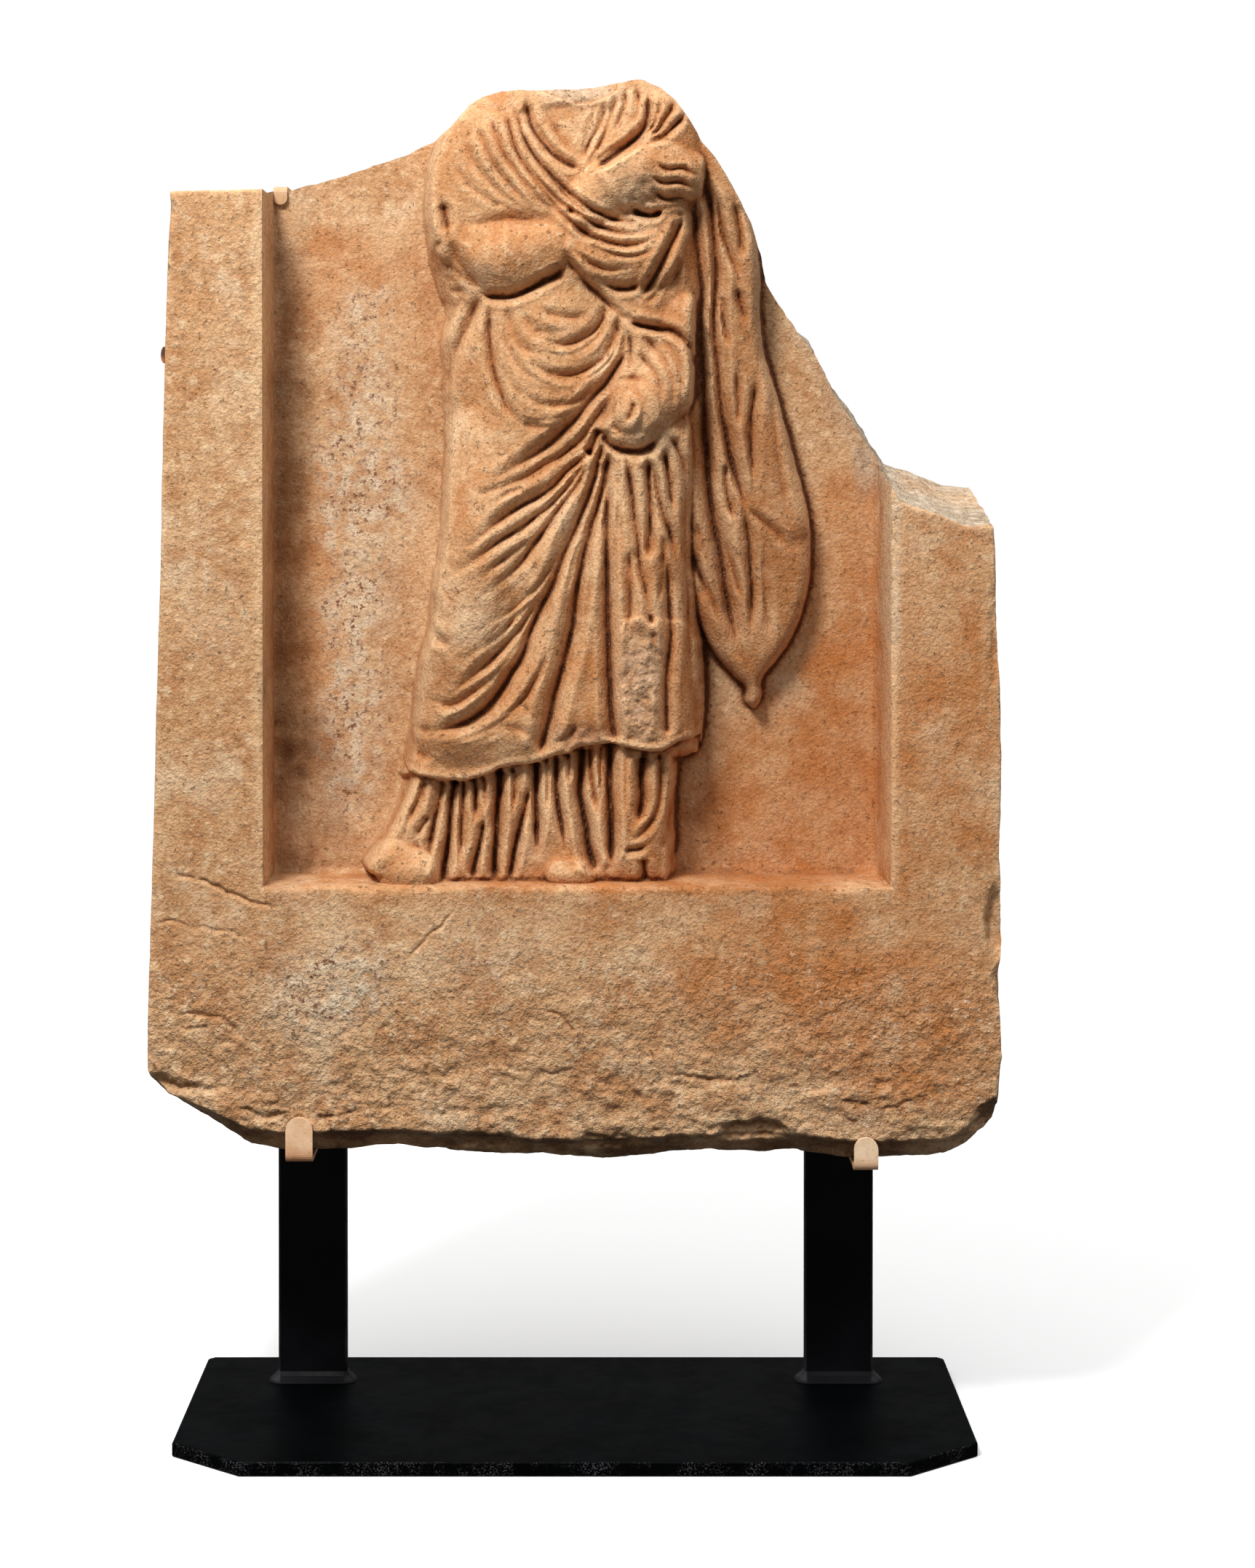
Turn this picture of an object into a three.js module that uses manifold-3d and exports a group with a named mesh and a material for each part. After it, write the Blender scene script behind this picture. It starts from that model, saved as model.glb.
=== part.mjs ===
// A carved marble stele: a headless draped woman in a rectangular niche, on a black steel stand.
// Millimetres, +Z up, +Y into the stone. The origin is under the middle of the base plate.
import * as THREE from 'three';
import { mergeVertices } from 'three/addons/utils/BufferGeometryUtils.js';
import Module from 'manifold-3d';

// The stone slab
const slabWidth = 588;
const slabHeight = 749;
const slabLift = 197; // lowest point of the stone above the floor
const footBevelHeight = 13; // broken lower front edge
const footBevelDepth = 20;
const breakSlope = 0.21; // rise of the right-hand break for each mm into the stone

// The niche that the figure stands in
const nicheDepth = 70;
const wallThickness = 60; // stone left behind the niche
const nicheWidth = 430.5;
const nicheShift = 1.8; // niche centre from the slab centre
const nicheSplayLeft = 1;
const nicheSplayRight = 4;
const ledgeHeight = 192.5; // top of the ledge above the lowest point of the stone

// The figure
const figureShift = 0; // figure's axis from the slab centre
const reliefCells = 256; // cells each way in the height map, a power of two
const reliefTolerance = 2.15; // largest error of its triangles

// The stand
const baseWidth = 551;
const baseDepth = 245;
const baseThickness = 10;
const baseChamferX = 50;
const baseChamferY = 42;
const baseEdgeRound = 1;
const uprightWidth = 50;
const uprightThickness = 12;
const uprightSpacing = 384;
const uprightEdgeRound = 2;
const uprightWeld = 7;
const rightUprightShare = 0.585; // top of the right bar as a share of the slab height
const gap = 0.3; // between pieces that touch

// The strap hooks and clips
const strapThickness = 3;
const strapBend = 4; // radius of a bend at the middle of the strap
const leftHookWidth = 18.5;
const leftHookShift = 2.8; // from the middle of its upright
const leftHookRise = 31; // height of its front leg
const rightHookWidth = 16.5;
const rightHookShift = 7.8;
const rightHookRise = 23;
const topClipWidth = 9.6;
const topClipInset = 5.3; // its middle from the niche's left edge
const topClipDrop = 13; // length of its front leg
const topClipSpring = 0.8; // how far its front leg stands off the niche wall
const sideClipWidth = 11.5;
const sideClipThickness = 2.3;
const sideClipLift = 557; // its middle above the lowest point of the stone, on the drawn outline

const wallY = 0;
const slabFrontY = wallY - nicheDepth;
const slabBackY = wallY + wallThickness;
const ledgeZ = slabLift + ledgeHeight;
const nicheLeft = nicheShift - nicheWidth / 2;
const nicheRight = nicheShift + nicheWidth / 2;
const leftHookX = leftHookShift - uprightSpacing / 2;
const rightHookX = rightHookShift + uprightSpacing / 2;
const topClipX = nicheLeft + topClipInset;

const marble = new THREE.MeshStandardMaterial({ color: 0xc99b6b, roughness: 0.9, metalness: 0 });
const blackPaint = new THREE.MeshStandardMaterial({ color: 0x0b0b0c, roughness: 0.42, metalness: 0.1 });
const beigePaint = new THREE.MeshStandardMaterial({ color: 0xe0be98, roughness: 0.6, metalness: 0 });

const wasm = await Module();
wasm.setup();

function solidOf(geometry) {
  const bare = geometry.index ? geometry.toNonIndexed() : geometry.clone();
  bare.deleteAttribute('normal');
  bare.deleteAttribute('uv');
  const merged = mergeVertices(bare, 1e-4);
  return new wasm.Manifold(new wasm.Mesh({
    numProp: 3,
    vertProperties: merged.attributes.position.array,
    triVerts: new Uint32Array(merged.index.array),
  }));
}

function geometryOf(solid) {
  const mesh = solid.getMesh();
  const geometry = new THREE.BufferGeometry();
  geometry.setAttribute('position', new THREE.BufferAttribute(new Float32Array(mesh.vertProperties), 3));
  geometry.setIndex(new THREE.BufferAttribute(new Uint32Array(mesh.triVerts), 1));
  return geometry;
}

// A smooth curve through guide points given as [x, z].
function smoothLine(points, steps, closed = false) {
  const curve = new THREE.CatmullRomCurve3(points.map(([x, z]) => new THREE.Vector3(x, 0, z)),
    closed, 'centripetal');
  return curve.getPoints(steps).slice(0, closed ? -1 : undefined).map((p) => [p.x, p.z]);
}

// A closed solid through rings of equal count, each ring a list of [x, y, z], with flat ends. The axes name
// the plane of each end: [0, 2] for x and z.
function loft(rings, firstAxes, lastAxes = firstAxes) {
  const count = rings[0].length;
  const positions = rings.flat(2);
  const index = [];
  for (let r = 0; r + 1 < rings.length; r += 1) {
    for (let i = 0; i < count; i += 1) {
      const a = r * count + i;
      const b = r * count + ((i + 1) % count);
      index.push(a, b, a + count, b, b + count, a + count);
    }
  }
  for (const [ring, axes, turned] of [[0, firstAxes, true], [rings.length - 1, lastAxes, false]]) {
    const outline = rings[ring].map((p) => new THREE.Vector2(p[axes[0]], p[axes[1]]));
    const reversed = turned !== THREE.ShapeUtils.isClockWise(outline);
    for (const triangle of THREE.ShapeUtils.triangulateShape(outline, [])) {
      const [a, b, c] = triangle.map((i) => ring * count + i);
      index.push(...(reversed ? [c, b, a] : [a, b, c]));
    }
  }
  const geometry = new THREE.BufferGeometry();
  geometry.setAttribute('position', new THREE.Float32BufferAttribute(positions, 3));
  geometry.setIndex(index);
  return outward(geometry);
}

// Turns a closed geometry so that its faces point out.
function outward(geometry) {
  const p = geometry.attributes.position;
  const index = geometry.index.array;
  const [a, b, c] = [new THREE.Vector3(), new THREE.Vector3(), new THREE.Vector3()];
  let volume = 0;
  for (let i = 0; i < index.length; i += 3) {
    a.fromBufferAttribute(p, index[i]);
    b.fromBufferAttribute(p, index[i + 1]);
    c.fromBufferAttribute(p, index[i + 2]);
    volume += a.dot(b.cross(c));
  }
  if (volume < 0) {
    geometry.setIndex(Array.from(index).reverse());
  }
  return geometry;
}

const mix = (a, b, t) => a + (b - a) * t;
const clamp = (v, lo, hi) => Math.min(hi, Math.max(lo, v));

// The slab's broken outline as [x, z] from the middle of its lowest edge, anticlockwise from the lower left
// corner. It is drawn at its own size and scaled to the named one.
const rightSide = [
  [294, 75], [293, 93], [292, 132], [294, 155], [292, 212], [293, 282], [290, 383], [288, 426],
];
const leftSide = [
  [-277, 669], [-280, 589], [-282.5, 504], [-284, 423], [-290, 212], [-292.5, 134], [-294, 76],
];
const breakOnJamb = [[287, 439], [266, 441], [248, 448], [223, 456]];
const breakOnWall = [[209, 497], [196, 515], [185, 531], [174, 555], [170, 563]];
const brokenTop = [[150, 586], [136, 612], [128, 640], [114, 669], [98, 695], [88, 706], [71, 734], [60, 744],
  [46, 749], [12, 744], [-24, 742], [-51, 742], [-65, 738], [-73, 733], [-87, 717]];
const drawnSide = Math.max(...rightSide.map(([x]) => x));
const drawnTop = Math.max(...brokenTop.map(([, z]) => z));
const slabX = (x) => x * slabWidth / (2 * drawnSide);
const slabZ = (z) => slabLift + z * slabHeight / drawnTop;
const drawnX = (x) => x * 2 * drawnSide / slabWidth;

// Flat spots of the stone under the hooks and the top clip.
const leftHookSeat = 6.3;
const rightHookSeat = 0.5;
const topClipSeat = 675.3;
const seatMargin = 4;
const topClipMargin = 1.5;
const cornerMargin = 0.4;
const cornerDrop = 4.8;
const ends = [-1, 1];
const leftSeat = ends.map((end) => drawnX(leftHookX + end * (leftHookWidth / 2 + seatMargin)));
const rightSeat = ends.map((end) => drawnX(rightHookX + end * (rightHookWidth / 2 + seatMargin)));
const topSeat = [topClipX + topClipWidth / 2 + topClipMargin, nicheLeft + cornerMargin].map(drawnX);

// The broken top from the figure's shoulder down to the seat of the top clip, as [share, z].
const shoulder = brokenTop[brokenTop.length - 1][0];
const crown = [
  ...brokenTop,
  ...[[0.14, 708.5], [0.27, 702], [0.5, 694], [0.645, 687.5], [0.88, 681]].map(([t, z]) => (
    [mix(shoulder, topSeat[0], t), z])),
  [topSeat[0], topClipSeat], [topSeat[1], topClipSeat],
  [drawnX(nicheLeft - cornerMargin / 4), topClipSeat - cornerDrop],
];

// The broken foot: points between the left side, the two seats and the right side, as [share, z].
const footLine = [
  ...[[0, 62], [0.02, 57], [0.15, 45], [0.44, 27], [0.75, 9]]
    .map(([t, z]) => [mix(-drawnSide, leftSeat[0], t), z]),
  [leftSeat[0], leftHookSeat], [leftSeat[1], leftHookSeat],
  ...[[0.13, 8], [0.22, 6], [0.4, 1.5], [0.54, 0], [0.69, 4.5], [0.9, 5]].map(([t, z]) => (
    [mix(leftSeat[1], rightSeat[0], t), z])),
  [rightSeat[0], rightHookSeat], [rightSeat[1], rightHookSeat],
  ...[[0.54, 2], [0.73, 11], [0.95, 28]].map(([t, z]) => [mix(rightSeat[1], drawnSide, t), z]),
];

function slabRing(y, footRise) {
  const into = y - slabFrontY;
  const intoWall = y - wallY;
  const place = ([x, z], lift = 0) => [slabX(x), y, slabZ(z) + lift];
  return [
    ...footLine.map(([x, z], i) => {
      const inner = i > 0 && i < footLine.length - 1 ? footRise : footRise / 2;
      return place([x, z], inner);
    }),
    ...rightSide.map((p) => place(p)),
    ...breakOnJamb.map((p) => place(p, breakSlope * into)),
    ...breakOnWall.map((p) => place(p, breakSlope * intoWall)),
    ...crown.map((p) => place(p)),
    ...leftSide.map((p) => place(p)),
  ];
}

function buildSlab() {
  return solidOf(loft([
    slabRing(slabFrontY, footBevelHeight),
    slabRing(slabFrontY + footBevelDepth, 0),
    slabRing(slabBackY, 0),
  ], [0, 2]));
}

function buildNicheTool() {
  const proud = 20;
  const high = slabLift + slabHeight + 40;
  const ring = (y) => {
    const deep = (y - slabFrontY) / nicheDepth;
    const l = nicheLeft - nicheSplayLeft * deep;
    const r = nicheRight - nicheSplayRight * deep;
    return [[l, y, ledgeZ], [r, y, ledgeZ], [r, y, high], [l, y, high]];
  };
  return solidOf(loft([ring(slabFrontY - proud), ring(wallY)], [0, 2]));
}

// The figure fills the height from the ledge to the broken top. It is drawn 556.5 mm high, in a niche 70 mm
// deep, and scaled. Coordinates are [x, z] with x from its axis and z above the ledge.
const drawnFigure = { height: 556.5, depth: 70 };
const figureScale = (slabHeight - ledgeHeight) / drawnFigure.height;
const reliefScale = nicheDepth / drawnFigure.depth;
const figureX = (x) => figureShift + x * figureScale;
const figureZ = (z) => ledgeZ + z * figureScale;

const bodyOutline = [[-60, 600], [-86, 530], [-100, 500], [-103, 470], [-100, 433], [-92, 410], [-89, 395],
  [-90, 350], [-90, 300], [-92, 245], [-98, 210], [-103, 175], [-112, 130], [-119, 82], [-128, 48],
  [-140, 29], [-152, 13], [-150, -1], [-138, -5], [-120, -6], [-98, -4]];
const skirtOutline = [
  [-60, -3], [40, -3], [70, -3], [74, 12], [73, 50], [76, 85], [85, 100], [87, 150], [93, 164],
];
const mantleOutline = [[104, 152], [112, 146], [119, 143], [125, 144], [137, 158], [147, 175], [155, 192],
  [160, 212], [162, 232], [161, 250], [157, 270], [150, 297], [143, 322], [136, 348], [130, 367], [127, 395],
  [128, 430], [124, 455], [114, 482], [104, 510], [92, 600]];

const ease = (lo, hi, v) => {
  const t = clamp((v - lo) / (hi - lo), 0, 1);
  return t * t * (3 - 2 * t);
};
const softMax = (a, b, k) => {
  const h = clamp(0.5 + (0.5 * (a - b)) / k, 0, 1);
  return mix(b, a, h) + k * h * (1 - h);
};

// A value that runs through [position, value] stops.
function profile(stops, at) {
  for (let i = 1; i < stops.length; i += 1) {
    if (at <= stops[i][0]) {
      const [[p0, v0], [p1, v1]] = [stops[i - 1], stops[i]];
      return mix(v0, v1, clamp((at - p0) / (p1 - p0), 0, 1));
    }
  }
  return stops[stops.length - 1][1];
}

// Distance from a point to a line, and how far along the line the nearest point lies.
function nearest(line, x, z) {
  let best = Infinity;
  let along = 0;
  for (let i = 0; i + 1 < line.length; i += 1) {
    const [x0, z0] = line[i];
    const dx = line[i + 1][0] - x0;
    const dz = line[i + 1][1] - z0;
    const t = clamp(((x - x0) * dx + (z - z0) * dz) / (dx * dx + dz * dz), 0, 1);
    const d = Math.hypot(x - x0 - t * dx, z - z0 - t * dz);
    if (d < best) {
      best = d;
      along = (i + t) / (line.length - 1);
    }
  }
  return [best, along];
}

// Distance inside the left and right edges of the figure at each level.
function edgeAt(points) {
  const stops = smoothLine(points, points.length * 4).map(([x, z]) => [z, x]).sort((a, b) => a[0] - b[0]);
  return (z) => profile(stops, z);
}

// A rounded limb or a swelling under the cloth: a line with a radius and a height that change along it.
function limb(points, radii, tops) {
  const line = smoothLine(points, (points.length - 1) * 5);
  const stops = (values) => values.map((v, i) => [i / (values.length - 1), v]);
  const radiusStops = stops(radii);
  const topStops = stops(tops);
  return (x, z) => {
    const [d, along] = nearest(line, x, z);
    const r = profile(radiusStops, along);
    const top = profile(topStops, along);
    const u = Math.min(d / r, 1);
    return top - r * (1 - Math.sqrt(1 - u * u)) - Math.max(0, d - r) * 2.5;
  };
}

// A chiselled furrow between two folds, deepest in the middle and fading at its ends.
function furrow(points, width, depth, fadeIn = 0.2, fadeOut = 0.3) {
  const line = smoothLine(points, (points.length - 1) * 6);
  const xs = line.map((p) => p[0]);
  const zs = line.map((p) => p[1]);
  const box = [
    Math.min(...xs) - width, Math.max(...xs) + width, Math.min(...zs) - width, Math.max(...zs) + width,
  ];
  return (x, z) => {
    if (x < box[0] || x > box[1] || z < box[2] || z > box[3]) return 0;
    const [d, along] = nearest(line, x, z);
    const fade = ease(0, fadeIn, along) * ease(0, fadeOut, 1 - along);
    const w = width * (0.6 + 0.4 * fade);
    return d < w ? depth * fade * (1 - (d / w) ** 2) ** 1.5 : 0;
  };
}

// A family of furrows that runs evenly from one guide line to another of as many points.
function foldFamily(first, last, count, width, depth, fadeIn, fadeOut) {
  return Array.from({ length: count }, (_, i) => {
    const t = count > 1 ? i / (count - 1) : 0;
    const guide = first.map(([x, z], k) => [mix(x, last[k][0], t), mix(z, last[k][1], t)]);
    return furrow(guide, width, depth, fadeIn, fadeOut);
  });
}

const bodyTops = [[-6, 56], [80, 58], [170, 56], [210, 58], [310, 57], [350, 58], [400, 54], [470, 58],
  [510, 55], [556, 46]];
const mantleTops = [[140, 22], [170, 26], [250, 32], [350, 36], [410, 40], [490, 44]];
const bodyEdge = 16;
const bodyRoll = 46;
const edgeRound = 8;
const limbBlend = 7;
const leastHeight = 3;
const mantleEdge = 15;
const mantleRoll = 26;
const mantleInner = 60; // the hanging mantle lies to the right of this
const mantleBlend = 2;
const mantleTip = 138; // level of its lower tip
const mantleTipSlope = 0.8;
const bodyRight = [[-10, 74], [80, 76], [100, 86], [230, 84], [330, 84], [400, 87], [460, 91], [560, 94]];

const limbs = [
  limb([[-70, 515], [-88, 480], [-88, 448]], [26, 24, 20], [48, 50, 54]), // covered upper arm
  limb(
    [[-86, 446], [-55, 432], [-15, 438], [25, 458], [60, 478]], [20, 25, 22, 18, 16], [58, 68, 69, 70, 68],
  ),
  limb([[-45, 500], [-30, 470]], [40, 36], [60, 62]), // chest
  limb([[60, 510], [55, 480]], [30, 26], [60, 68]), // shoulder
  limb([[-25, 368], [-25, 330]], [62, 60], [66, 66]), // belly
  limb([[-50, 300], [-66, 220], [-72, 185], [-78, 110]], [46, 36, 32, 34], [62, 70, 70, 62]), // bent leg
  limb([[50, 300], [44, 210], [42, 100], [38, 20]], [40, 34, 30, 22], [62, 62, 60, 60]), // standing leg
  limb([[84, 385], [66, 350], [44, 323]], [24, 24, 19], [58, 66, 72]), // covered hand
  limb([[98, 480], [100, 410], [92, 370]], [24, 20, 20], [48, 46, 48]),
  limb([[-124, 12], [-112, 2]], [15, 13], [66, 70]), // left foot
  limb([[-14, 6], [4, 6]], [9, 9], [62, 62]), // right foot
];

const folds = [
  // chest, from the left shoulder down to the raised hand
  ...foldFamily([[-72, 531], [-45, 498], [-20, 477], [10, 451], [32, 442]],
    [[-33, 545], [-20, 515], [-8, 500], [0, 492], [12, 485]], 3, 6.5, 5.5),
  ...foldFamily([[22, 538], [17, 522], [8, 500]], [[76, 534], [62, 522], [46, 508]], 3, 6, 5.5),
  // fingers
  ...foldFamily([[48, 475], [86, 472]], [[52, 494], [86, 491]], 2, 5, 3.5),
  // arcs under the hand
  ...foldFamily([[0, 424], [14, 422], [44, 421]], [[30, 454], [46, 455], [64, 461]], 3, 6, 5),
  furrow([[75, 461], [66, 442], [55, 421], [47, 403]], 6, 6),
  // sleeve of the covered forearm
  furrow([[-93, 470], [-88, 452], [-84, 440]], 5.5, 6),
  furrow([[-84, 448], [-60, 457], [-45, 460], [-28, 462]], 6, 4.5),
  furrow([[-84, 427], [-66, 409], [-50, 404], [-28, 412], [-3, 425]], 8, 9, 0.15, 0.15),
  furrow([[0, 424], [17, 405], [30, 390], [38, 387], [70, 379], [82, 356]], 6, 6.5),
  // waist and belly
  furrow([[-62, 407], [-71, 393], [-84, 367], [-89, 345], [-89, 330]], 6, 5.5),
  furrow([[-58, 402], [-58, 375], [-54, 345], [-45, 323], [-30, 315]], 5.5, 4),
  ...foldFamily([[18, 398], [6, 391], [-10, 388], [-20, 390], [-34, 398]],
    [[33, 386], [20, 357], [3, 336], [-12, 325], [-27, 320]], 3, 6, 4.5),
  // folds that sweep from the covered hand to the bent knee
  ...foldFamily([[36, 375], [26, 350], [4, 322], [-20, 301], [-54, 280]],
    [[6, 292], [-10, 265], [-25, 240], [-44, 220], [-70, 204]], 4, 6.5, 6.5, 0.15, 0.4),
  ...foldFamily([[13, 308], [4, 278], [-10, 236], [-30, 186], [-54, 146]],
    [[20, 307], [21, 278], [11, 240], [0, 190], [-24, 90]], 3, 6, 8, 0.12, 0.2),
  ...foldFamily(
    [[-28, 200], [-52, 172], [-80, 152]], [[-26, 170], [-58, 112], [-110, 106]], 3, 6.5, 6, 0.2, 0.35,
  ),
  // upright folds of the standing leg
  ...foldFamily([[25, 300], [25, 200], [29, 98]], [[62, 296], [69, 220], [63, 105]], 3, 6, 7.5, 0.15, 0.1),
  furrow([[77, 310], [79, 190], [84, 100]], 5.5, 6, 0.3, 0.05),
  // covered hand with the bunched cloth
  furrow([[17, 314], [26, 303], [42, 299], [55, 307], [61, 320], [56, 334]], 6, 7, 0.15, 0.3),
  furrow([[41, 332], [33, 316]], 5, 4),
  furrow([[45, 381], [62, 362], [70, 324]], 5, 4.5),
  // mantle that hangs from the arm
  ...foldFamily([[82, 472], [86, 410], [91, 320], [99, 240], [112, 158]],
    [[122, 450], [121, 370], [125, 310], [129, 260], [126, 180]], 3, 6, 7.5, 0.12, 0.15),
  furrow([[96, 492], [104, 455], [116, 416]], 5, 5),
  furrow([[118, 262], [132, 250], [152, 230]], 5, 4),
];

// Pleats of the long dress: top x, bottom x, width and depth of each furrow.
const pleats = [[-112, -147, 5.5, 6], [-92, -104, 5, 7], [-78, -88, 5, 7.5], [-53, -58, 5.5, 8.5],
  [-30, -38, 5, 7.5], [-13, -12, 4.5, 6], [5, 9, 5.5, 9], [24, 25, 5, 9], [47, 44, 6, 7.5]];
const hem = [[-125, 82], [-108, 76], [-80, 72], [-60, 77], [-30, 84], [-10, 91], [28, 97], [46, 93], [62, 97],
  [90, 101]];
const hemStep = 8;
const hemLevel = 78; // the step grows up to here
const hemRecess = 1.5; // the pleats lie behind the hem by this at the foot
const hemRight = 76; // the hem ends here
const skirtFolds = pleats.map(([top, low, width, depth]) => {
  const start = profile(hem, top) - 1;
  const line = [[top, start], [mix(top, low, 0.45), mix(start, 3, 0.5)], [low, 3]];
  return furrow(line, width, depth, 0.04, 0.25);
});

const bodyLeftAt = edgeAt(bodyOutline.slice(1, 18));
const mantleRightAt = edgeAt(mantleOutline.slice(3, 20));
const bodyRightAt = (z) => profile(bodyRight, z);

const roll = (inside, edge, top, reach) => {
  const t = clamp(inside / reach, 0, 1);
  return edge + (top - edge) * Math.sqrt(1 - (1 - t) ** 2);
};

// Height of the carving above the niche wall.
function reliefHeight(x, z) {
  const inside = Math.min(x - bodyLeftAt(z), bodyRightAt(z) - x);
  let h = roll(inside, bodyEdge, profile(bodyTops, z), bodyRoll);
  for (const one of limbs) {
    h = softMax(h, one(x, z), limbBlend);
  }
  const rounding = clamp((inside + edgeRound / 4) / edgeRound, 0, 1);
  h = mix(Math.min(h, bodyEdge), h, Math.sqrt(rounding));
  if (z < profile(hem, x) && x < hemRight) {
    h -= hemStep * ease(0, hemLevel, z) + hemRecess;
  }
  const mantleInside = Math.min(mantleRightAt(z) - x, mantleInner, (z - mantleTip) * mantleTipSlope);
  const mantle = roll(mantleInside, mantleEdge, profile(mantleTops, z), mantleRoll);
  h = x > mantleInner ? softMax(h, mantle, mantleBlend) : h;
  let cut = 0;
  for (const one of folds) {
    cut = Math.max(cut, one(x, z));
  }
  for (const one of skirtFolds) {
    cut = Math.max(cut, one(x, z));
  }
  return Math.max(h - cut, leastHeight);
}

// A height map as few triangles as the tolerance allows: right triangles are halved, level by level, where
// the surface departs from them.
function adaptiveTriangles(cells, heights, tolerance) {
  const size = cells + 1;
  const errors = new Float32Array(size * size);
  const count = cells * cells * 2 - 2;
  const parents = count - cells * cells;
  const at = (x, y) => y * size + x;
  for (let i = count - 1; i >= 0; i -= 1) {
    let id = i + 2;
    let [ax, ay, bx, by, cx, cy] = id & 1 ? [0, 0, cells, cells, cells, 0] : [cells, cells, 0, 0, 0, cells];
    for (id >>= 1; id > 1; id >>= 1) {
      const mx = (ax + bx) >> 1;
      const my = (ay + by) >> 1;
      [ax, ay, bx, by] = id & 1 ? [cx, cy, ax, ay] : [bx, by, cx, cy];
      [cx, cy] = [mx, my];
    }
    const middle = at((ax + bx) >> 1, (ay + by) >> 1);
    const straight = (heights[at(ax, ay)] + heights[at(bx, by)]) / 2;
    errors[middle] = Math.max(errors[middle], Math.abs(straight - heights[middle]));
    if (i < parents) {
      errors[middle] = Math.max(errors[middle], errors[at((ax + cx) >> 1, (ay + cy) >> 1)],
        errors[at((bx + cx) >> 1, (by + cy) >> 1)]);
    }
  }
  const triangles = [];
  const split = (ax, ay, bx, by, cx, cy) => {
    const mx = (ax + bx) >> 1;
    const my = (ay + by) >> 1;
    if (Math.abs(ax - cx) + Math.abs(ay - cy) > 1 && errors[at(mx, my)] > tolerance) {
      split(cx, cy, ax, ay, mx, my);
      split(bx, by, cx, cy, mx, my);
    } else {
      triangles.push([at(ax, ay), at(bx, by), at(cx, cy)]);
    }
  };
  split(0, 0, cells, cells, cells, 0);
  split(cells, cells, 0, 0, 0, cells);
  return triangles;
}

function buildReliefBlock() {
  const [x0, x1, z0, z1] = [-160, 170, -14, 575];
  const sunk = 6; // how far the block runs into the stone behind the niche wall
  const size = reliefCells + 1;
  const heights = new Float32Array(size * size);
  for (let j = 0; j < size; j += 1) {
    for (let i = 0; i < size; i += 1) {
      heights[j * size + i] = reliefHeight(mix(x0, x1, i / reliefCells), mix(z0, z1, j / reliefCells));
    }
  }
  const faces = adaptiveTriangles(reliefCells, heights, reliefTolerance);
  const positions = [];
  const numbers = new Map();
  const vertex = (id, back) => {
    const key = back ? -1 - id : id;
    if (!numbers.has(key)) {
      numbers.set(key, positions.length / 3);
      const x = figureX(mix(x0, x1, (id % size) / reliefCells));
      const z = figureZ(mix(z0, z1, Math.floor(id / size) / reliefCells));
      positions.push(x, back ? wallY + sunk : wallY - heights[id] * reliefScale, z);
    }
    return numbers.get(key);
  };
  const index = [];
  const edges = new Map();
  for (const face of faces) {
    index.push(...face.map((id) => vertex(id, false)));
    index.push(...face.map((id) => vertex(id, true)).reverse());
    face.forEach((id, k) => edges.set(`${id},${face[(k + 1) % 3]}`, [id, face[(k + 1) % 3]]));
  }
  for (const [a, b] of edges.values()) {
    if (!edges.has(`${b},${a}`)) {
      const [frontA, frontB] = [vertex(a, false), vertex(b, false)];
      const [backA, backB] = [vertex(a, true), vertex(b, true)];
      index.push(frontB, frontA, backA, frontB, backA, backB);
    }
  }
  const geometry = new THREE.BufferGeometry();
  geometry.setAttribute('position', new THREE.Float32BufferAttribute(positions, 3));
  geometry.setIndex(index);
  return solidOf(outward(geometry));
}

function buildFigureOutline() {
  const outline = [...bodyOutline.slice(1), ...skirtOutline, ...mantleOutline];
  const smooth = smoothLine(outline, 110, true);
  const ring = (y) => smooth.map(([x, z]) => [figureX(x), y, figureZ(z)]);
  return solidOf(loft([ring(slabFrontY - 30), ring(slabBackY)], [0, 2]));
}

function buildStele() {
  const slab = buildSlab();
  const front = slabRing(slabFrontY, 0).map(([x, , z]) => [x, z]);
  const crownTrim = solidOf(loft([slabFrontY - 30, slabBackY].map((y) => (
    front.map(([x, z]) => [x, y, z]))), [0, 2]));
  const figure = buildReliefBlock().intersect(buildFigureOutline()).intersect(crownTrim);
  return geometryOf(slab.subtract(buildNicheTool()).add(figure));
}

// A rectangle with rounded corners as a ring of [x, y, z] at height z.
function roundedRing(cx, cy, width, depth, radius, z, grow = 0) {
  const arcSteps = 3;
  const ring = [];
  for (const [sx, sy, start] of [[1, 1, 0], [-1, 1, 1], [-1, -1, 2], [1, -1, 3]]) {
    for (let k = 0; k <= arcSteps; k += 1) {
      const angle = (start + k / arcSteps) * Math.PI / 2;
      ring.push([cx + sx * (width / 2 - radius) + (radius + grow) * Math.cos(angle),
        cy + sy * (depth / 2 - radius) + (radius + grow) * Math.sin(angle), z]);
    }
  }
  return ring;
}

function buildBasePlate() {
  const w = baseWidth / 2;
  const d = baseDepth / 2;
  const corner = 4;
  const outline = (inset) => [
    [-w + baseChamferX + inset * 0.4, -d + inset], [w - baseChamferX - inset * 0.4, -d + inset],
    [w - inset, -d + baseChamferY + inset * 0.4], [w - inset, d - corner - inset],
    [w - corner - inset, d - inset], [-w + corner + inset, d - inset],
    [-w + inset, d - corner - inset], [-w + inset, -d + baseChamferY + inset * 0.4]];
  const ring = (inset, z) => outline(inset).map(([x, y]) => [x, y, z]);
  const top = baseThickness;
  return loft([ring(baseEdgeRound, 0), ring(0, baseEdgeRound), ring(0, top - baseEdgeRound),
    ring(baseEdgeRound, top)], [0, 1]);
}

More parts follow.
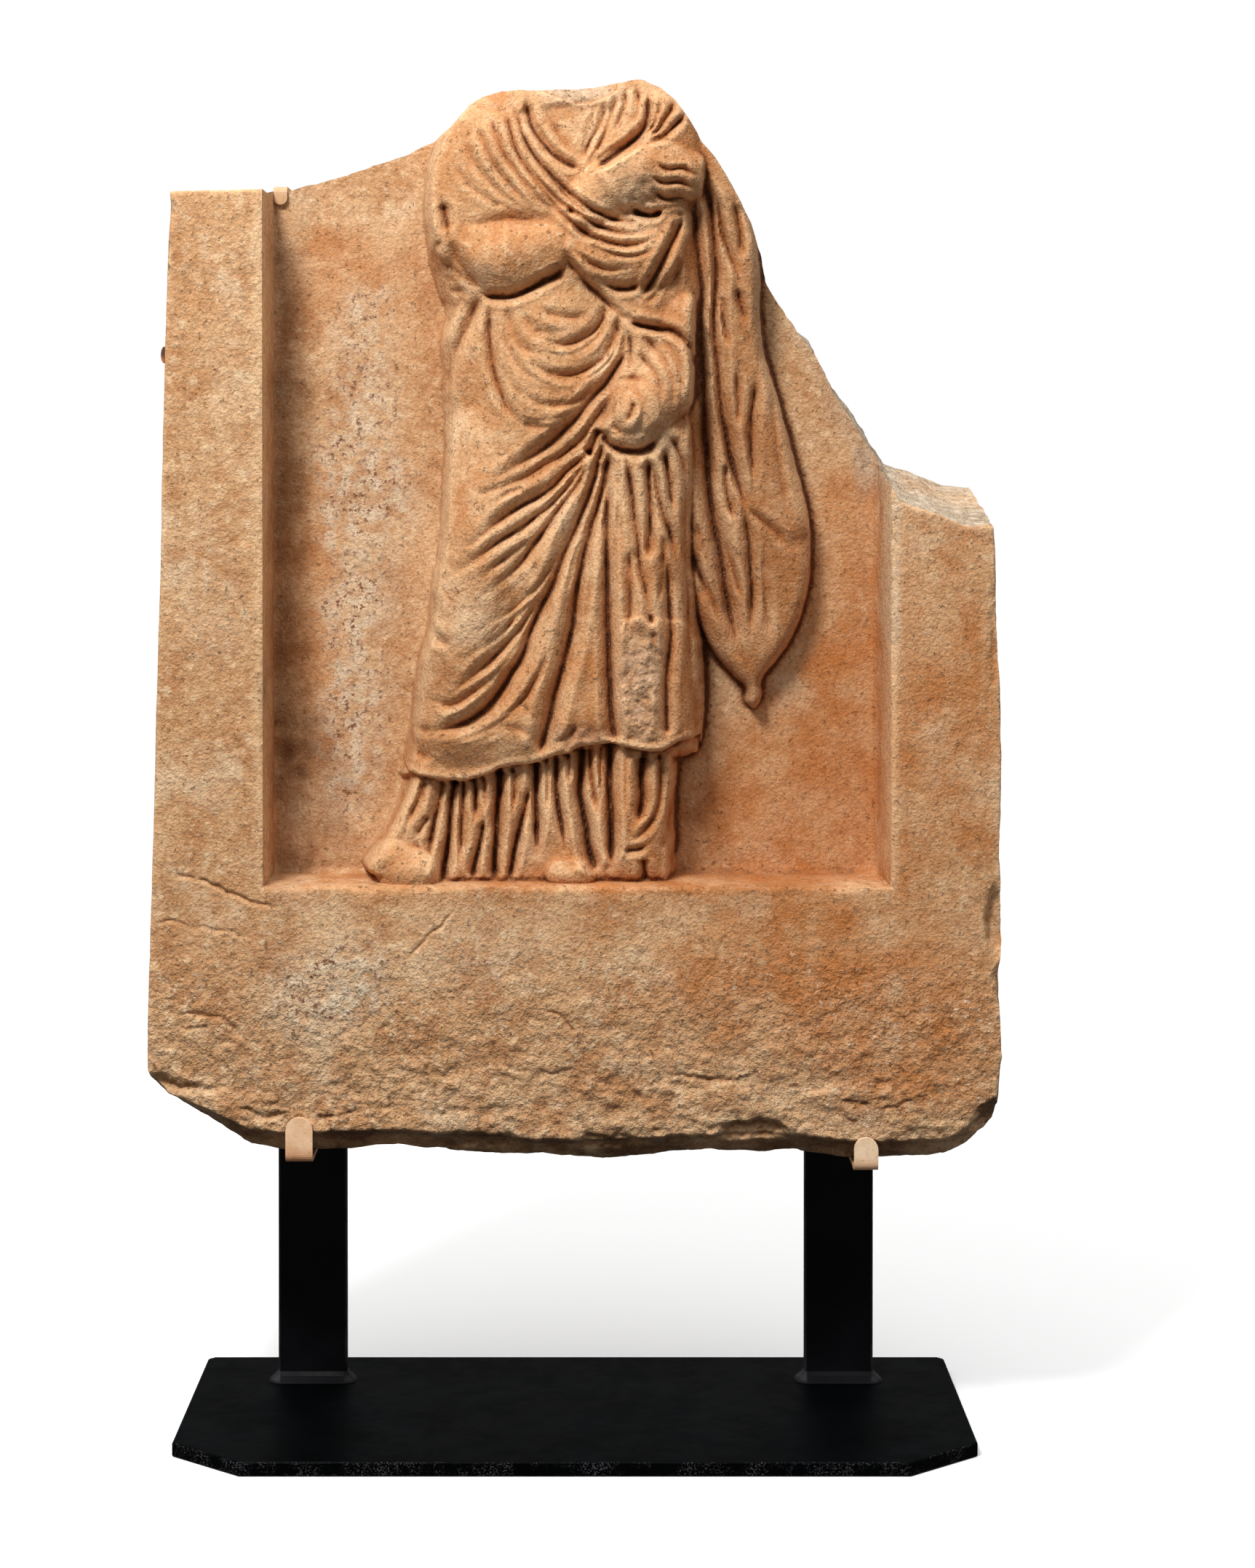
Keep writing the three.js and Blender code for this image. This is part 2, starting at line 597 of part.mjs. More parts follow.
const uprightY = slabBackY + gap + uprightThickness / 2;
const leftUprightTop = slabZ(topClipSeat) + gap + strapThickness + 1;
const rightUprightTop = slabLift + slabHeight * rightUprightShare;

function buildUpright(x, top) {
  const foot = baseThickness + gap;
  const ring = (z, grow) =>
    roundedRing(x, uprightY, uprightWidth, uprightThickness, uprightEdgeRound, z, grow);
  return loft([ring(foot, uprightWeld), ring(foot + 2, uprightWeld * 0.65), ring(foot + uprightWeld * 0.6, 2),
    ring(foot + uprightWeld, 0), ring(top - 1, 0), ring(top, -1)], [0, 1]);
}

// A bent strap seen from the side, as a list of [y, z], given its thickness around a rounded path.
function strapProfile(path, thickness, bend) {
  const shape = new THREE.Path();
  shape.moveTo(...path[0]);
  for (let i = 1; i + 1 < path.length; i += 1) {
    const corner = new THREE.Vector2(...path[i]);
    const before = new THREE.Vector2(...path[i - 1]).sub(corner).setLength(bend).add(corner);
    const after = new THREE.Vector2(...path[i + 1]).sub(corner).setLength(bend).add(corner);
    shape.lineTo(before.x, before.y);
    shape.quadraticCurveTo(corner.x, corner.y, after.x, after.y);
  }
  shape.lineTo(...path[path.length - 1]);
  const middle = shape.getPoints(6);
  const sides = [[], []];
  middle.forEach((p, i) => {
    const before = middle[Math.max(i - 1, 0)];
    const ahead = middle[Math.min(i + 1, middle.length - 1)].clone().sub(before).normalize();
    sides[0].push([p.x - ahead.y * thickness / 2, p.y + ahead.x * thickness / 2]);
    sides[1].push([p.x + ahead.y * thickness / 2, p.y - ahead.x * thickness / 2]);
  });
  return [...sides[0], ...sides[1].reverse()];
}

// The strap cut to the shape that shows from the front, with a round tip.
function buildStrap(x, width, path, tipZ, tipUp) {
  const outline = strapProfile(path, strapThickness, strapBend);
  const across = (at) => outline.map(([y, z]) => [at, y, z]);
  const strap = solidOf(loft([across(x - width / 2), across(x + width / 2)], [1, 2]));
  const r = width / 2;
  const turn = tipUp ? 1 : -1;
  const reach = 60; // how far the cutter runs past the strap
  const far = tipZ - turn * reach;
  const front = [[x - r - 1, far], [x + r + 1, far], [x + r + 1, tipZ - turn * r], [x + r, tipZ - turn * r]];
  const arcSteps = 10;
  for (let k = 1; k < arcSteps; k += 1) {
    const angle = (k / arcSteps) * Math.PI;
    front.push([x + r * Math.cos(angle), tipZ - turn * r + turn * r * Math.sin(angle)]);
  }
  front.push([x - r, tipZ - turn * r], [x - r - 1, tipZ - turn * r]);
  const cutter = solidOf(loft([slabFrontY - reach, slabBackY + reach].map((y) => (
    front.map(([px, pz]) => [px, y, pz]))), [0, 2]));
  return geometryOf(strap.intersect(cutter));
}

function buildLowerHook(x, width, seat, rise) {
  const undersideZ = slabZ(seat) - gap - strapThickness / 2;
  const legY = slabFrontY - gap - strapThickness / 2;
  const tip = undersideZ - strapThickness / 2 + rise;
  return buildStrap(x, width, [[slabBackY, undersideZ], [legY, undersideZ], [legY, tip]], tip, true);
}

function buildTopClip() {
  const overZ = slabZ(topClipSeat) + gap + strapThickness / 2;
  const legY = wallY - gap - topClipSpring - strapThickness / 2;
  const tip = overZ + strapThickness / 2 - topClipDrop;
  return buildStrap(topClipX, topClipWidth, [[slabBackY, overZ], [legY, overZ], [legY, tip]], tip, false);
}

function buildSideClip() {
  const z = slabZ(sideClipLift);
  const sideX = slabX(profile(leftSide.map(([x, h]) => [h, x]).sort((a, b) => a[0] - b[0]), sideClipLift));
  const inner = sideX - gap - 0.4;
  const arcSteps = 8;
  const section = (at, toward) => Array.from({ length: arcSteps + 1 }, (_, k) => {
    const angle = (k / arcSteps) * Math.PI;
    const out = sideClipThickness * Math.sin(angle);
    const up = (sideClipWidth / 2) * Math.cos(angle);
    return toward(at, out, up);
  });
  const alongSide = (y) => section(y, (at, out, up) => [inner - out, at, z + up]);
  const behind = (x) => section(x, (at, out, up) => [at, slabBackY + gap + 0.4 + out, z + up]);
  const corner = section(0, (at, out, up) => [inner - out, slabBackY + gap + 0.4 + out, z + up]);
  const uprightSide = -(uprightSpacing + uprightWidth) / 2 - gap;
  const middle = [alongSide(slabFrontY + 4), alongSide(slabBackY - 6), corner, behind(uprightSide)];
  return loft(middle, [0, 2], [1, 2]);
}

const group = new THREE.Group();
function add(name, geometry, material) {
  const mesh = new THREE.Mesh(geometry, material);
  mesh.name = name;
  group.add(mesh);
}

add('stele', buildStele(), marble);
add('base_plate', buildBasePlate(), blackPaint);
add('left_upright', buildUpright(-uprightSpacing / 2, leftUprightTop), blackPaint);
add('right_upright', buildUpright(uprightSpacing / 2, rightUprightTop), blackPaint);
add('lower_left_hook', buildLowerHook(leftHookX, leftHookWidth, leftHookSeat, leftHookRise), beigePaint);
add('lower_right_hook', buildLowerHook(rightHookX, rightHookWidth, rightHookSeat, rightHookRise), beigePaint);
add('top_clip', buildTopClip(), beigePaint);
add('side_clip', buildSideClip(), beigePaint);

export default group;
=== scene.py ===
import math

import bpy
import numpy as np
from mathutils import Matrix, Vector


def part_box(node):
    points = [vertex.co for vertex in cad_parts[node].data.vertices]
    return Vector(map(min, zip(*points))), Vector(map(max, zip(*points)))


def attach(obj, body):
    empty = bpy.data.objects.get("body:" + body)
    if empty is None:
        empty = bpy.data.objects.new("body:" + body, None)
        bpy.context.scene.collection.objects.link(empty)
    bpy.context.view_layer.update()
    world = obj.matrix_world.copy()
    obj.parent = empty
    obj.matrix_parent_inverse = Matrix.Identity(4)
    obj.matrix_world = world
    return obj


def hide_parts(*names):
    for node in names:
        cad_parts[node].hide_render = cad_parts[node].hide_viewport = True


# A broken marble stele with a headless draped woman in a niche, on a black stand. Shapes are worked out
# in millimetres, with X to the right, Y into the stone and Z up, and become metres where a mesh is made.
# The stand's finishes, the lamps and the camera are placed in metres.
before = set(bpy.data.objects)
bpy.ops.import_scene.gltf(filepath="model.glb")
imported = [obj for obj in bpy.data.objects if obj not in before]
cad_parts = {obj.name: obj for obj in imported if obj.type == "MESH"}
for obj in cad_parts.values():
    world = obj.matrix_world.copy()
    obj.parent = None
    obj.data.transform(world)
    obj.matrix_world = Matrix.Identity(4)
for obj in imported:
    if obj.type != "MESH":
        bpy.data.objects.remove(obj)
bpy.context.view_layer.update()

MM = 0.001
stone_low, stone_high = [np.array(corner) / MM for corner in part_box("stele")]
left_hook_low, left_hook_high = [np.array(corner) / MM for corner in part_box("lower_left_hook")]
right_hook_low, right_hook_high = [np.array(corner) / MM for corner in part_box("lower_right_hook")]

grid_step = 1.0
most_triangles = 190000

wall_y = 0.0
front_y = -70.0
back_y = stone_high[1]
middle_z = 560
ledge_z = 389.5
niche_left = -213.45
niche_right = 217.05
niche_splay = 4.0
side_clip_z = 754

# The figure below is drawn as an eye at this place sees it on the plane of the stone's front. Its
# outlines lie rim_depth behind that plane, and its folds fold_depth.
eye_x = 10.8
eye_y = -2392.5
eye_z = 746.0
rim_depth = 54
fold_depth = 12


def seen(x, z, depth):
    """Where a true point that lies deeper than the stone's front shows on the plane of that front."""
    scale = 1 + depth / (front_y - eye_y)
    return eye_x + (x - eye_x) / scale, eye_z + (z - eye_z) / scale


# Small helpers on arrays

def ease(low, high, value):
    """0 at low and 1 at high, smoothly."""
    t = np.clip((value - low) / (high - low), 0, 1)
    return t * t * (3 - 2 * t)


def soft_max(a, b, blend):
    """The higher of two heights, with a soft valley where they meet."""
    t = np.clip(0.5 + 0.5 * (a - b) / blend, 0, 1)
    return b + (a - b) * t + blend * t * (1 - t)


def curve(points, spans=9):
    """A smooth line through guide points."""
    p = np.array(points, float)
    if len(p) == 2:
        t = np.linspace(0, 1, spans + 1)[:, None]
        return p[0] * (1 - t) + p[1] * t
    p = np.vstack([2 * p[0] - p[1], p, 2 * p[-1] - p[-2]])
    t = np.linspace(0, 1, spans, endpoint=False)[:, None]
    parts = []
    for a, b, c, d in zip(p[:-3], p[1:-2], p[2:-1], p[3:]):
        bend = 2 * a - 5 * b + 4 * c - d
        twist = 3 * b - 3 * c + d - a
        parts.append(0.5 * (2 * b + (c - a) * t + bend * t ** 2 + twist * t ** 3))
    return np.vstack(parts + [p[-2][None]])


def nearest(line, x, z):
    """Distance to a line, and the share of its length at the nearest point."""
    ways = line[1:] - line[:-1]
    lengths = np.hypot(ways[:, 0], ways[:, 1])
    starts = np.concatenate([[0], np.cumsum(lengths)])
    best = np.full(x.shape, np.inf)
    share = np.zeros(x.shape)
    for (px, pz), (wx, wz), length, start in zip(line, ways, lengths, starts):
        dx = x - px
        dz = z - pz
        t = np.clip((dx * wx + dz * wz) / max(length ** 2, 1e-9), 0, 1)
        distance = np.hypot(dx - t * wx, dz - t * wz)
        near = distance < best
        best = np.where(near, distance, best)
        share = np.where(near, (start + t * length) / starts[-1], share)
    return best, share


def inside(line, x, z):
    """Distance to a closed line, positive inside it."""
    loop = np.vstack([line, line[:1]])
    distance = nearest(loop, x, z)[0]
    odd = np.zeros(x.shape, bool)
    for (x0, z0), (x1, z1) in zip(loop[:-1], loop[1:]):
        if z0 != z1:
            crossing = (z0 > z) != (z1 > z)
            odd ^= crossing & (x < x0 + (z - z0) * (x1 - x0) / (z1 - z0))
    return np.where(odd, distance, -distance)


def within(points, x, z):
    """Distance to the smooth closed line through guide points, positive inside it."""
    return inside(curve(points + points[:1]), x, z)


def rounding(distance, radius):
    """How far an edge rounded to this radius has sunk, at a distance from the edge."""
    t = np.clip(1 - distance / radius, 0, 1)
    return radius * (1 - np.sqrt(1 - t * t))


def between_knots(knots, i, j, s, t):
    """Values at shares s and t of the way from column i and row j to the next ones."""
    low = knots[j, i] * (1 - s) + knots[j, i + 1] * s
    high = knots[j + 1, i] * (1 - s) + knots[j + 1, i + 1] * s
    return low * (1 - t) + high * t


def swells(u, v, size, seed, layers=4, stretch=1.0):
    """Layered random hills between about -1 and 1, the widest size across, and stretch times that in u."""
    rng = np.random.default_rng(seed)
    total = np.zeros(np.shape(u))
    amount = 0.55
    for _ in range(layers):
        turn = rng.uniform(-0.25, 0.25) if stretch != 1.0 else rng.uniform(0, math.pi)
        a = (u / stretch * math.cos(turn) + v * math.sin(turn)) / size + 1000
        b = (v * math.cos(turn) - u / stretch * math.sin(turn)) / size + 1000
        i = np.floor(a).astype(int)
        j = np.floor(b).astype(int)
        s = ease(0, 1, a - i)
        t = ease(0, 1, b - j)
        i -= i.min()
        j -= j.min()
        knots = rng.uniform(-1, 1, (j.max() + 2, i.max() + 2))
        total += amount * between_knots(knots, i, j, s, t)
        amount *= 0.6
        size *= 0.5
    return total


def softened(field, reach):
    """The field averaged over a square of this half width, twice."""
    cells = max(1, int(round(reach / grid_step)))
    for _ in range(2):
        for axis in (0, 1):
            pad = [(0, 0), (0, 0)]
            pad[axis] = (cells + 1, cells)
            total = np.cumsum(np.pad(field, pad, mode="edge"), axis=axis)
            width = 2 * cells + 1
            high = np.take(total, range(width, total.shape[axis]), axis=axis)
            low = np.take(total, range(total.shape[axis] - width), axis=axis)
            field = (high - low) / width
    return field


def picked(field, x, z):
    """Values of a field over the height map's grid, at any points."""
    a = np.clip((x - xs[0]) / grid_step, 0, len(xs) - 1.001)
    b = np.clip((z - zs[0]) / grid_step, 0, len(zs) - 1.001)
    i = a.astype(int)
    j = b.astype(int)
    return between_knots(field, i, j, a - i, b - j)


# The broken outline of the slab, as true x and z, anticlockwise as seen from the front
foot_left = [(-294, 259), (-292, 254), (-280, 242), (-254, 224), (-225, 206)]
foot_middle = [(-129, 205), (-96, 203), (-30, 198.5), (20, 197), (75, 201.5), (151, 202)]
foot_right = [(256, 199), (272, 208), (290, 225)]
right_side = [
    (294, 272), (293, 290), (292, 329), (294, 352), (292, 409), (293, 479), (290, 580), (288, 623)]
jamb_break = [(287, 636), (266, 638), (248, 645), (223, 653)]
wall_break = [(209, 694), (196, 712), (185, 728), (174, 752), (170, 760)]
crown = [
    (150, 783), (136, 809), (128, 837), (114, 866), (98, 892), (88, 903), (71, 931), (60, 941), (46, 946),
    (12, 941), (-24, 939), (-51, 939), (-65, 935), (-73, 930), (-87, 914), (-103, 905.5), (-118, 899),
    (-144, 891), (-161, 884.5), (-188, 878)]
clip_seat = [(-202, 872.3), (-213, 872.3), (-213.6, 867.5)]
left_side = [(-277, 866), (-280, 786), (-282.5, 701), (-284, 620), (-290, 409), (-292.5, 331), (-294, 273)]
seat_margin = 4.0
seat_rise = 3.3
break_slope = 0.21
foot_top = 262
foot_bevel_depth = 20.0


def hook_seat(low, high):
    """The level stretch that rests on a hook."""
    z = low[2] + seat_rise
    return [(low[0] - seat_margin, z), (high[0] + seat_margin, z)]


# Each stretch of the outline with how rough its side is
stretches = [(foot_left, 2.2), (hook_seat(left_hook_low, left_hook_high), 0), (foot_middle, 2.6),
             (hook_seat(right_hook_low, right_hook_high), 0), (foot_right, 2.0), (right_side, 1.3),
             (jamb_break, 2.4), (wall_break, 2.6), (crown, 1.5), (clip_seat, 0), (left_side, 0.6)]


def outline_at(y):
    """The slab's outline at a depth, with the foot's broken front edge higher and the break on the right
    rising into the stone."""
    points = []
    for stretch, _ in stretches:
        for x, z in stretch:
            lift = 0
            if stretch is jamb_break:
                lift = break_slope * (y - front_y)
            elif stretch is wall_break:
                lift = break_slope * (y - wall_y)
            elif z < foot_top:
                bevel = 13 * float(ease(-292, -232, x)) + 3
                lift = bevel * max(0, 1 - (y - front_y) / foot_bevel_depth)
            points.append((x, z + lift))
    return np.array(points)


roughness_at_points = np.array([rough for stretch, rough in stretches for _ in stretch])


# The figure as the eye sees it: x and z on the plane of the stone's front. The tops are heights above the
# niche wall, by z.
BODY = [
    (-30, 965), (-72, 935), (-90, 912), (-100, 888), (-103, 862), (-100, 826), (-93, 800), (-88, 787),
    (-91, 765), (-90, 740), (-89, 700), (-91, 660), (-93, 625), (-98, 600), (-101, 570), (-108, 545),
    (-112, 510), (-117, 480), (-116, 464), (-60, 456), (30, 470), (78, 480), (86, 490), (88, 540),
    (84, 620), (84, 720), (86, 790), (90, 850), (92, 905), (60, 960)]
SKIRT = [
    (-108, 486), (-117, 466), (-122, 452), (-130, 436), (-138, 420), (-146, 409), (-142, 401), (-128, 396),
    (-112, 394), (-98, 389), (-60, 389), (-20, 386), (14, 388), (40, 391), (66, 391), (69, 410), (68, 440),
    (66, 500), (0, 510), (-80, 500)]
FOOT = [
    (-138, 400), (-134, 391), (-125, 384), (-110, 383), (-100, 388), (-97, 398), (-101, 408), (-115, 414),
    (-130, 411)]
MANTLE = [
    (60, 965), (96, 905), (112, 872), (122, 845), (127, 815), (127, 785), (130, 757), (136, 738),
    (143, 712), (150, 687), (157, 660), (161, 640), (162, 622), (161, 604), (158, 587), (153, 571),
    (146, 557), (138, 546), (131, 538), (127, 530), (128, 521), (124, 514), (119, 518), (118, 528),
    (110, 536), (101, 546), (93, 557), (86, 571), (80, 590), (70, 640), (60, 800)]
BODY_TOPS = [
    (380, 56), (470, 58), (560, 56), (600, 58), (700, 57), (740, 58), (790, 54), (860, 58), (900, 55),
    (945, 46)]
MANTLE_TOPS = [(510, 20), (530, 22), (560, 26), (640, 32), (740, 36), (800, 40), (880, 44)]

# Limbs and swellings under the cloth: the middle line, with radii and heights above the wall along it
LIMBS = [
    ([(-66, 905), (-84, 872), (-86, 842)], (28, 25, 20), (50, 52, 55)),
    ([(-80, 832), (-50, 822), (-14, 829)], (17, 27, 21), (57, 70, 68)),
    ([(-2, 850), (22, 868), (50, 880), (76, 878)], (17, 21, 23, 18), (66, 70, 70, 63)),
    ([(8, 822), (48, 824)], (24, 27), (66, 65)),
    ([(-45, 892), (-24, 868)], (40, 34), (60, 64)),
    ([(60, 912), (62, 880)], (28, 26), (58, 64)),
    ([(-20, 775), (-22, 725)], (56, 62), (64, 66)),
    ([(-50, 690), (-66, 610), (-72, 575), (-80, 500)], (46, 36, 32, 34), (62, 70, 70, 62)),
    ([(50, 690), (46, 600), (44, 490), (38, 410)], (38, 34, 30, 24), (62, 62, 62, 58)),
    ([(80, 775), (66, 740), (46, 714)], (23, 24, 20), (58, 66, 70)),
    ([(96, 880), (104, 820), (98, 760)], (24, 20, 20), (50, 46, 46)),
    ([(-126, 402), (-110, 397)], (19, 18), (64, 69)),
    ([(-10, 397), (5, 397)], (10, 10), (61, 61)),
]

# Cloth or flesh that lies on top: outline, how far it stands up, and how soft its edge is
LAYERS = [
    ([(18, 704), (25, 693), (40, 689), (54, 695), (61, 708), (59, 723), (49, 736), (36, 738), (24, 724)],
     6, 4.5),
    ([(29, 722), (26, 711), (31, 702), (41, 703), (46, 714), (43, 726), (35, 730)], 3, 2.5),
    ([(12, 879), (30, 889), (48, 900), (60, 903), (78, 894), (84, 878), (80, 858), (60, 850), (36, 852),
     (26, 858)], 3.5, 5),
    ([(36, 778), (52, 774), (70, 770), (80, 756), (80, 720), (66, 690), (56, 690), (40, 740)], 2.5, 6),
    ([(-8, 826), (2, 812), (18, 795), (38, 777), (72, 770), (84, 758), (84, 850), (40, 850), (0, 850)], 3,
     4),
    ([(-44, 938), (-46, 928), (-42, 921), (-36, 921), (-32, 928), (-33, 938), (-38, 941)], 3.2, 4),
    ([(-26, 926), (-14, 904), (0, 887), (7, 888), (16, 902), (25, 926), (0, 930)], -3.2, 5),
    ([(28, 486), (44, 483), (60, 482), (74, 488), (84, 492), (84, 560), (62, 574), (28, 566)], 2.5, 3),
    ([(-108, 462), (-120, 450), (-136, 425), (-150, 408), (-140, 400), (-112, 415), (-100, 440)], 2, 6),
]

# Furrows between the folds: half width, depth and the points that each runs through. Two shares of its
# length end a row whose furrow doesn't fade in and out as most do.
NECK = [
    (2.8, 4.0, [(-33, 928), (-30, 913), (-24, 902), (-16, 893), (-6, 886), (4, 882)], 0.1, 0.1),
    (2.0, 2.2, [(-27, 916), (-19, 900), (-9, 889), (1, 884)]),
    (2.0, 1.4, [(-16, 916), (-10, 904), (-3, 894)]),
    (2.4, 3.2, [(-40, 922), (-33, 899), (-21, 882), (-8, 866), (4, 854), (14, 848)], 0.1, 0.2),
    (2.0, 1.4, [(-36, 912), (-29, 893), (-18, 877), (-6, 864), (6, 857)]),
    (2.4, 3.0, [(-47, 920), (-40, 894), (-29, 876), (-16, 859), (-4, 846), (4, 838)], 0.08, 0.15),
    (2.6, 2.6, [(-58, 917), (-50, 895), (-38, 877), (-25, 861), (-13, 849)], 0.08, 0.2),
    (2.4, 2.2, [(-67, 911), (-57, 888), (-43, 869), (-28, 855)], 0.1, 0.3),
    (2.0, 1.3, [(-53, 904), (-45, 884), (-34, 869)]),
    (2.2, 1.5, [(-78, 905), (-66, 882), (-52, 866), (-38, 856)]),
    (2.2, 1.2, [(-84, 886), (-72, 870), (-58, 860), (-42, 853)]),
    (2.4, 3.0, [(31, 936), (25, 919), (17, 898), (10, 886)]),
    (2.2, 2.6, [(22, 929), (17, 913), (9, 898), (5, 886)]),
    (2.0, 1.6, [(14, 925), (9, 908), (4, 893)]),
    (3.2, 6.0, [(51, 933), (49, 914), (40, 901), (28, 892), (14, 882)], 0.12, 0.12),
    (2.2, 2.8, [(43, 941), (44, 925), (39, 910)]),
    (2.2, 2.6, [(36, 939), (33, 922), (24, 904)]),
    (2.4, 3.2, [(59, 930), (55, 914), (46, 903)]),
    (2.6, 4.0, [(69, 928), (59, 911), (49, 902)]),
    (2.6, 4.2, [(76, 920), (62, 905), (49, 898)]),
]
NECK_BREAK = [(-24, 937), (-12, 932), (0, 928), (12, 928), (24, 933), (29, 938)]
HAND = [
    (1.7, 2.8, [(56, 884), (64, 880), (74, 881), (84, 876)]),
    (1.7, 3.0, [(52, 875), (61, 871), (72, 872), (83, 867)]),
    (1.7, 3.0, [(53, 866), (62, 861), (73, 862), (82, 858)]),
    (2.6, 5.5, [(38, 855), (46, 851), (54, 850), (62, 854)]),
    (2.2, 4.0, [(-30, 892), (-18, 879), (-5, 866), (6, 857), (17, 850), (32, 846), (46, 845)], 0.2, 0.3),
    (2.0, 3.0, [(-36, 886), (-22, 870), (-8, 857), (6, 848), (22, 840), (38, 837), (54, 840)], 0.3, 0.3),
    (2.2, 3.6, [(-28, 870), (-14, 856), (-2, 845), (10, 836), (26, 830), (42, 829), (58, 835)], 0.3, 0.25),
    (1.8, 2.0, [(2, 834), (16, 827), (30, 822), (44, 822), (58, 827)], 0.5, 0.4),
    (2.2, 2.6, [(-2, 826), (10, 817), (24, 812), (38, 813)], 0.4, 0.5),
    (2.6, 3.4, [(14, 806), (24, 801), (36, 800), (46, 804)], 0.5, 0.2),
    (3.0, 5.5, [(75, 852), (71, 840), (65, 828), (58, 814), (52, 804), (46, 794)], 0.15, 0.15),
    (2.4, 2.2, [(66, 812), (58, 800), (48, 789)]),
    (2.2, 1.6, [(74, 822), (68, 806), (60, 792)]),
]
ARM = [
    (3.0, 5.0, [(-91, 860), (-89, 848), (-87, 837)]),
    (2.0, 2.2, [(-97, 832), (-94, 826)]),
    (2.6, 2.0, [(-96, 818), (-90, 808), (-82, 805)]),
    (2.4, 1.8, [(-76, 843), (-60, 846), (-46, 848), (-32, 847), (-18, 843)], 0.4, 0.4),
    (3.0, 3.0, [(-86, 834), (-80, 820), (-72, 808), (-62, 800)]),
    (2.6, 2.2, [(-92, 806), (-84, 799), (-74, 800)]),
    (2.5, 5.0, [(-66, 798), (-58, 795), (-46, 794), (-34, 798), (-20, 806), (-4, 815)], 0.15, 0.15),
    (2.6, 3.6, [(-6, 824), (-3, 815), (5, 806), (12, 799), (18, 794), (28, 785), (36, 778)]),
]
WAIST = [
    (3.6, 5.0, [(-62, 797), (-69, 787), (-74, 776), (-80, 765), (-85, 754), (-88, 740), (-89, 722)]),
    (2.4, 1.8, [(-76, 796), (-84, 784), (-92, 772)]),
    (2.6, 4.0, [(-58, 792), (-59, 770), (-57, 750), (-53, 735), (-48, 721), (-42, 712), (-36, 707)]),
    (2.4, 2.0, [(-36, 707), (-26, 705), (-16, 705)]),
    (2.4, 1.6, [(-46, 788), (-43, 770), (-34, 758), (-22, 753)]),
    (2.4, 1.5, [(-38, 784), (-30, 774), (-16, 768), (-6, 766)]),
    (2.6, 2.2, [(-24, 786), (-12, 781), (2, 780), (10, 784)]),
    (2.6, 3.6, [(21, 791), (19, 779), (11, 769), (-2, 762), (-14, 762), (-26, 768)], 0.1, 0.5),
    (2.2, 2.2, [(23, 782), (17, 769), (7, 759), (-6, 754), (-20, 755)], 0.15, 0.6),
    (2.8, 3.8, [(30, 783), (28, 768), (19, 752), (6, 743), (-9, 740), (-24, 745), (-36, 757)], 0.1, 0.6),
    (2.0, 2.0, [(31, 768), (24, 751), (12, 740), (-3, 734)], 0.15, 0.5),
    (2.8, 3.6, [(35, 774), (33, 757), (24, 740), (11, 728), (-6, 720), (-24, 721), (-38, 730)], 0.1, 0.6),
    (2.2, 2.2, [(30, 745), (20, 730), (6, 719), (-12, 711), (-30, 708)], 0.1, 0.6),
    (2.0, 1.6, [(-50, 776), (-45, 757), (-34, 742), (-20, 735)], 0.3, 0.6),
    (2.0, 1.4, [(-51, 750), (-44, 734), (-32, 722)], 0.3, 0.6),
    (2.0, 1.0, [(26, 772), (18, 758), (6, 750), (-8, 748)]),
    (2.4, 1.8, [(26, 790), (32, 782), (44, 778)]),
]
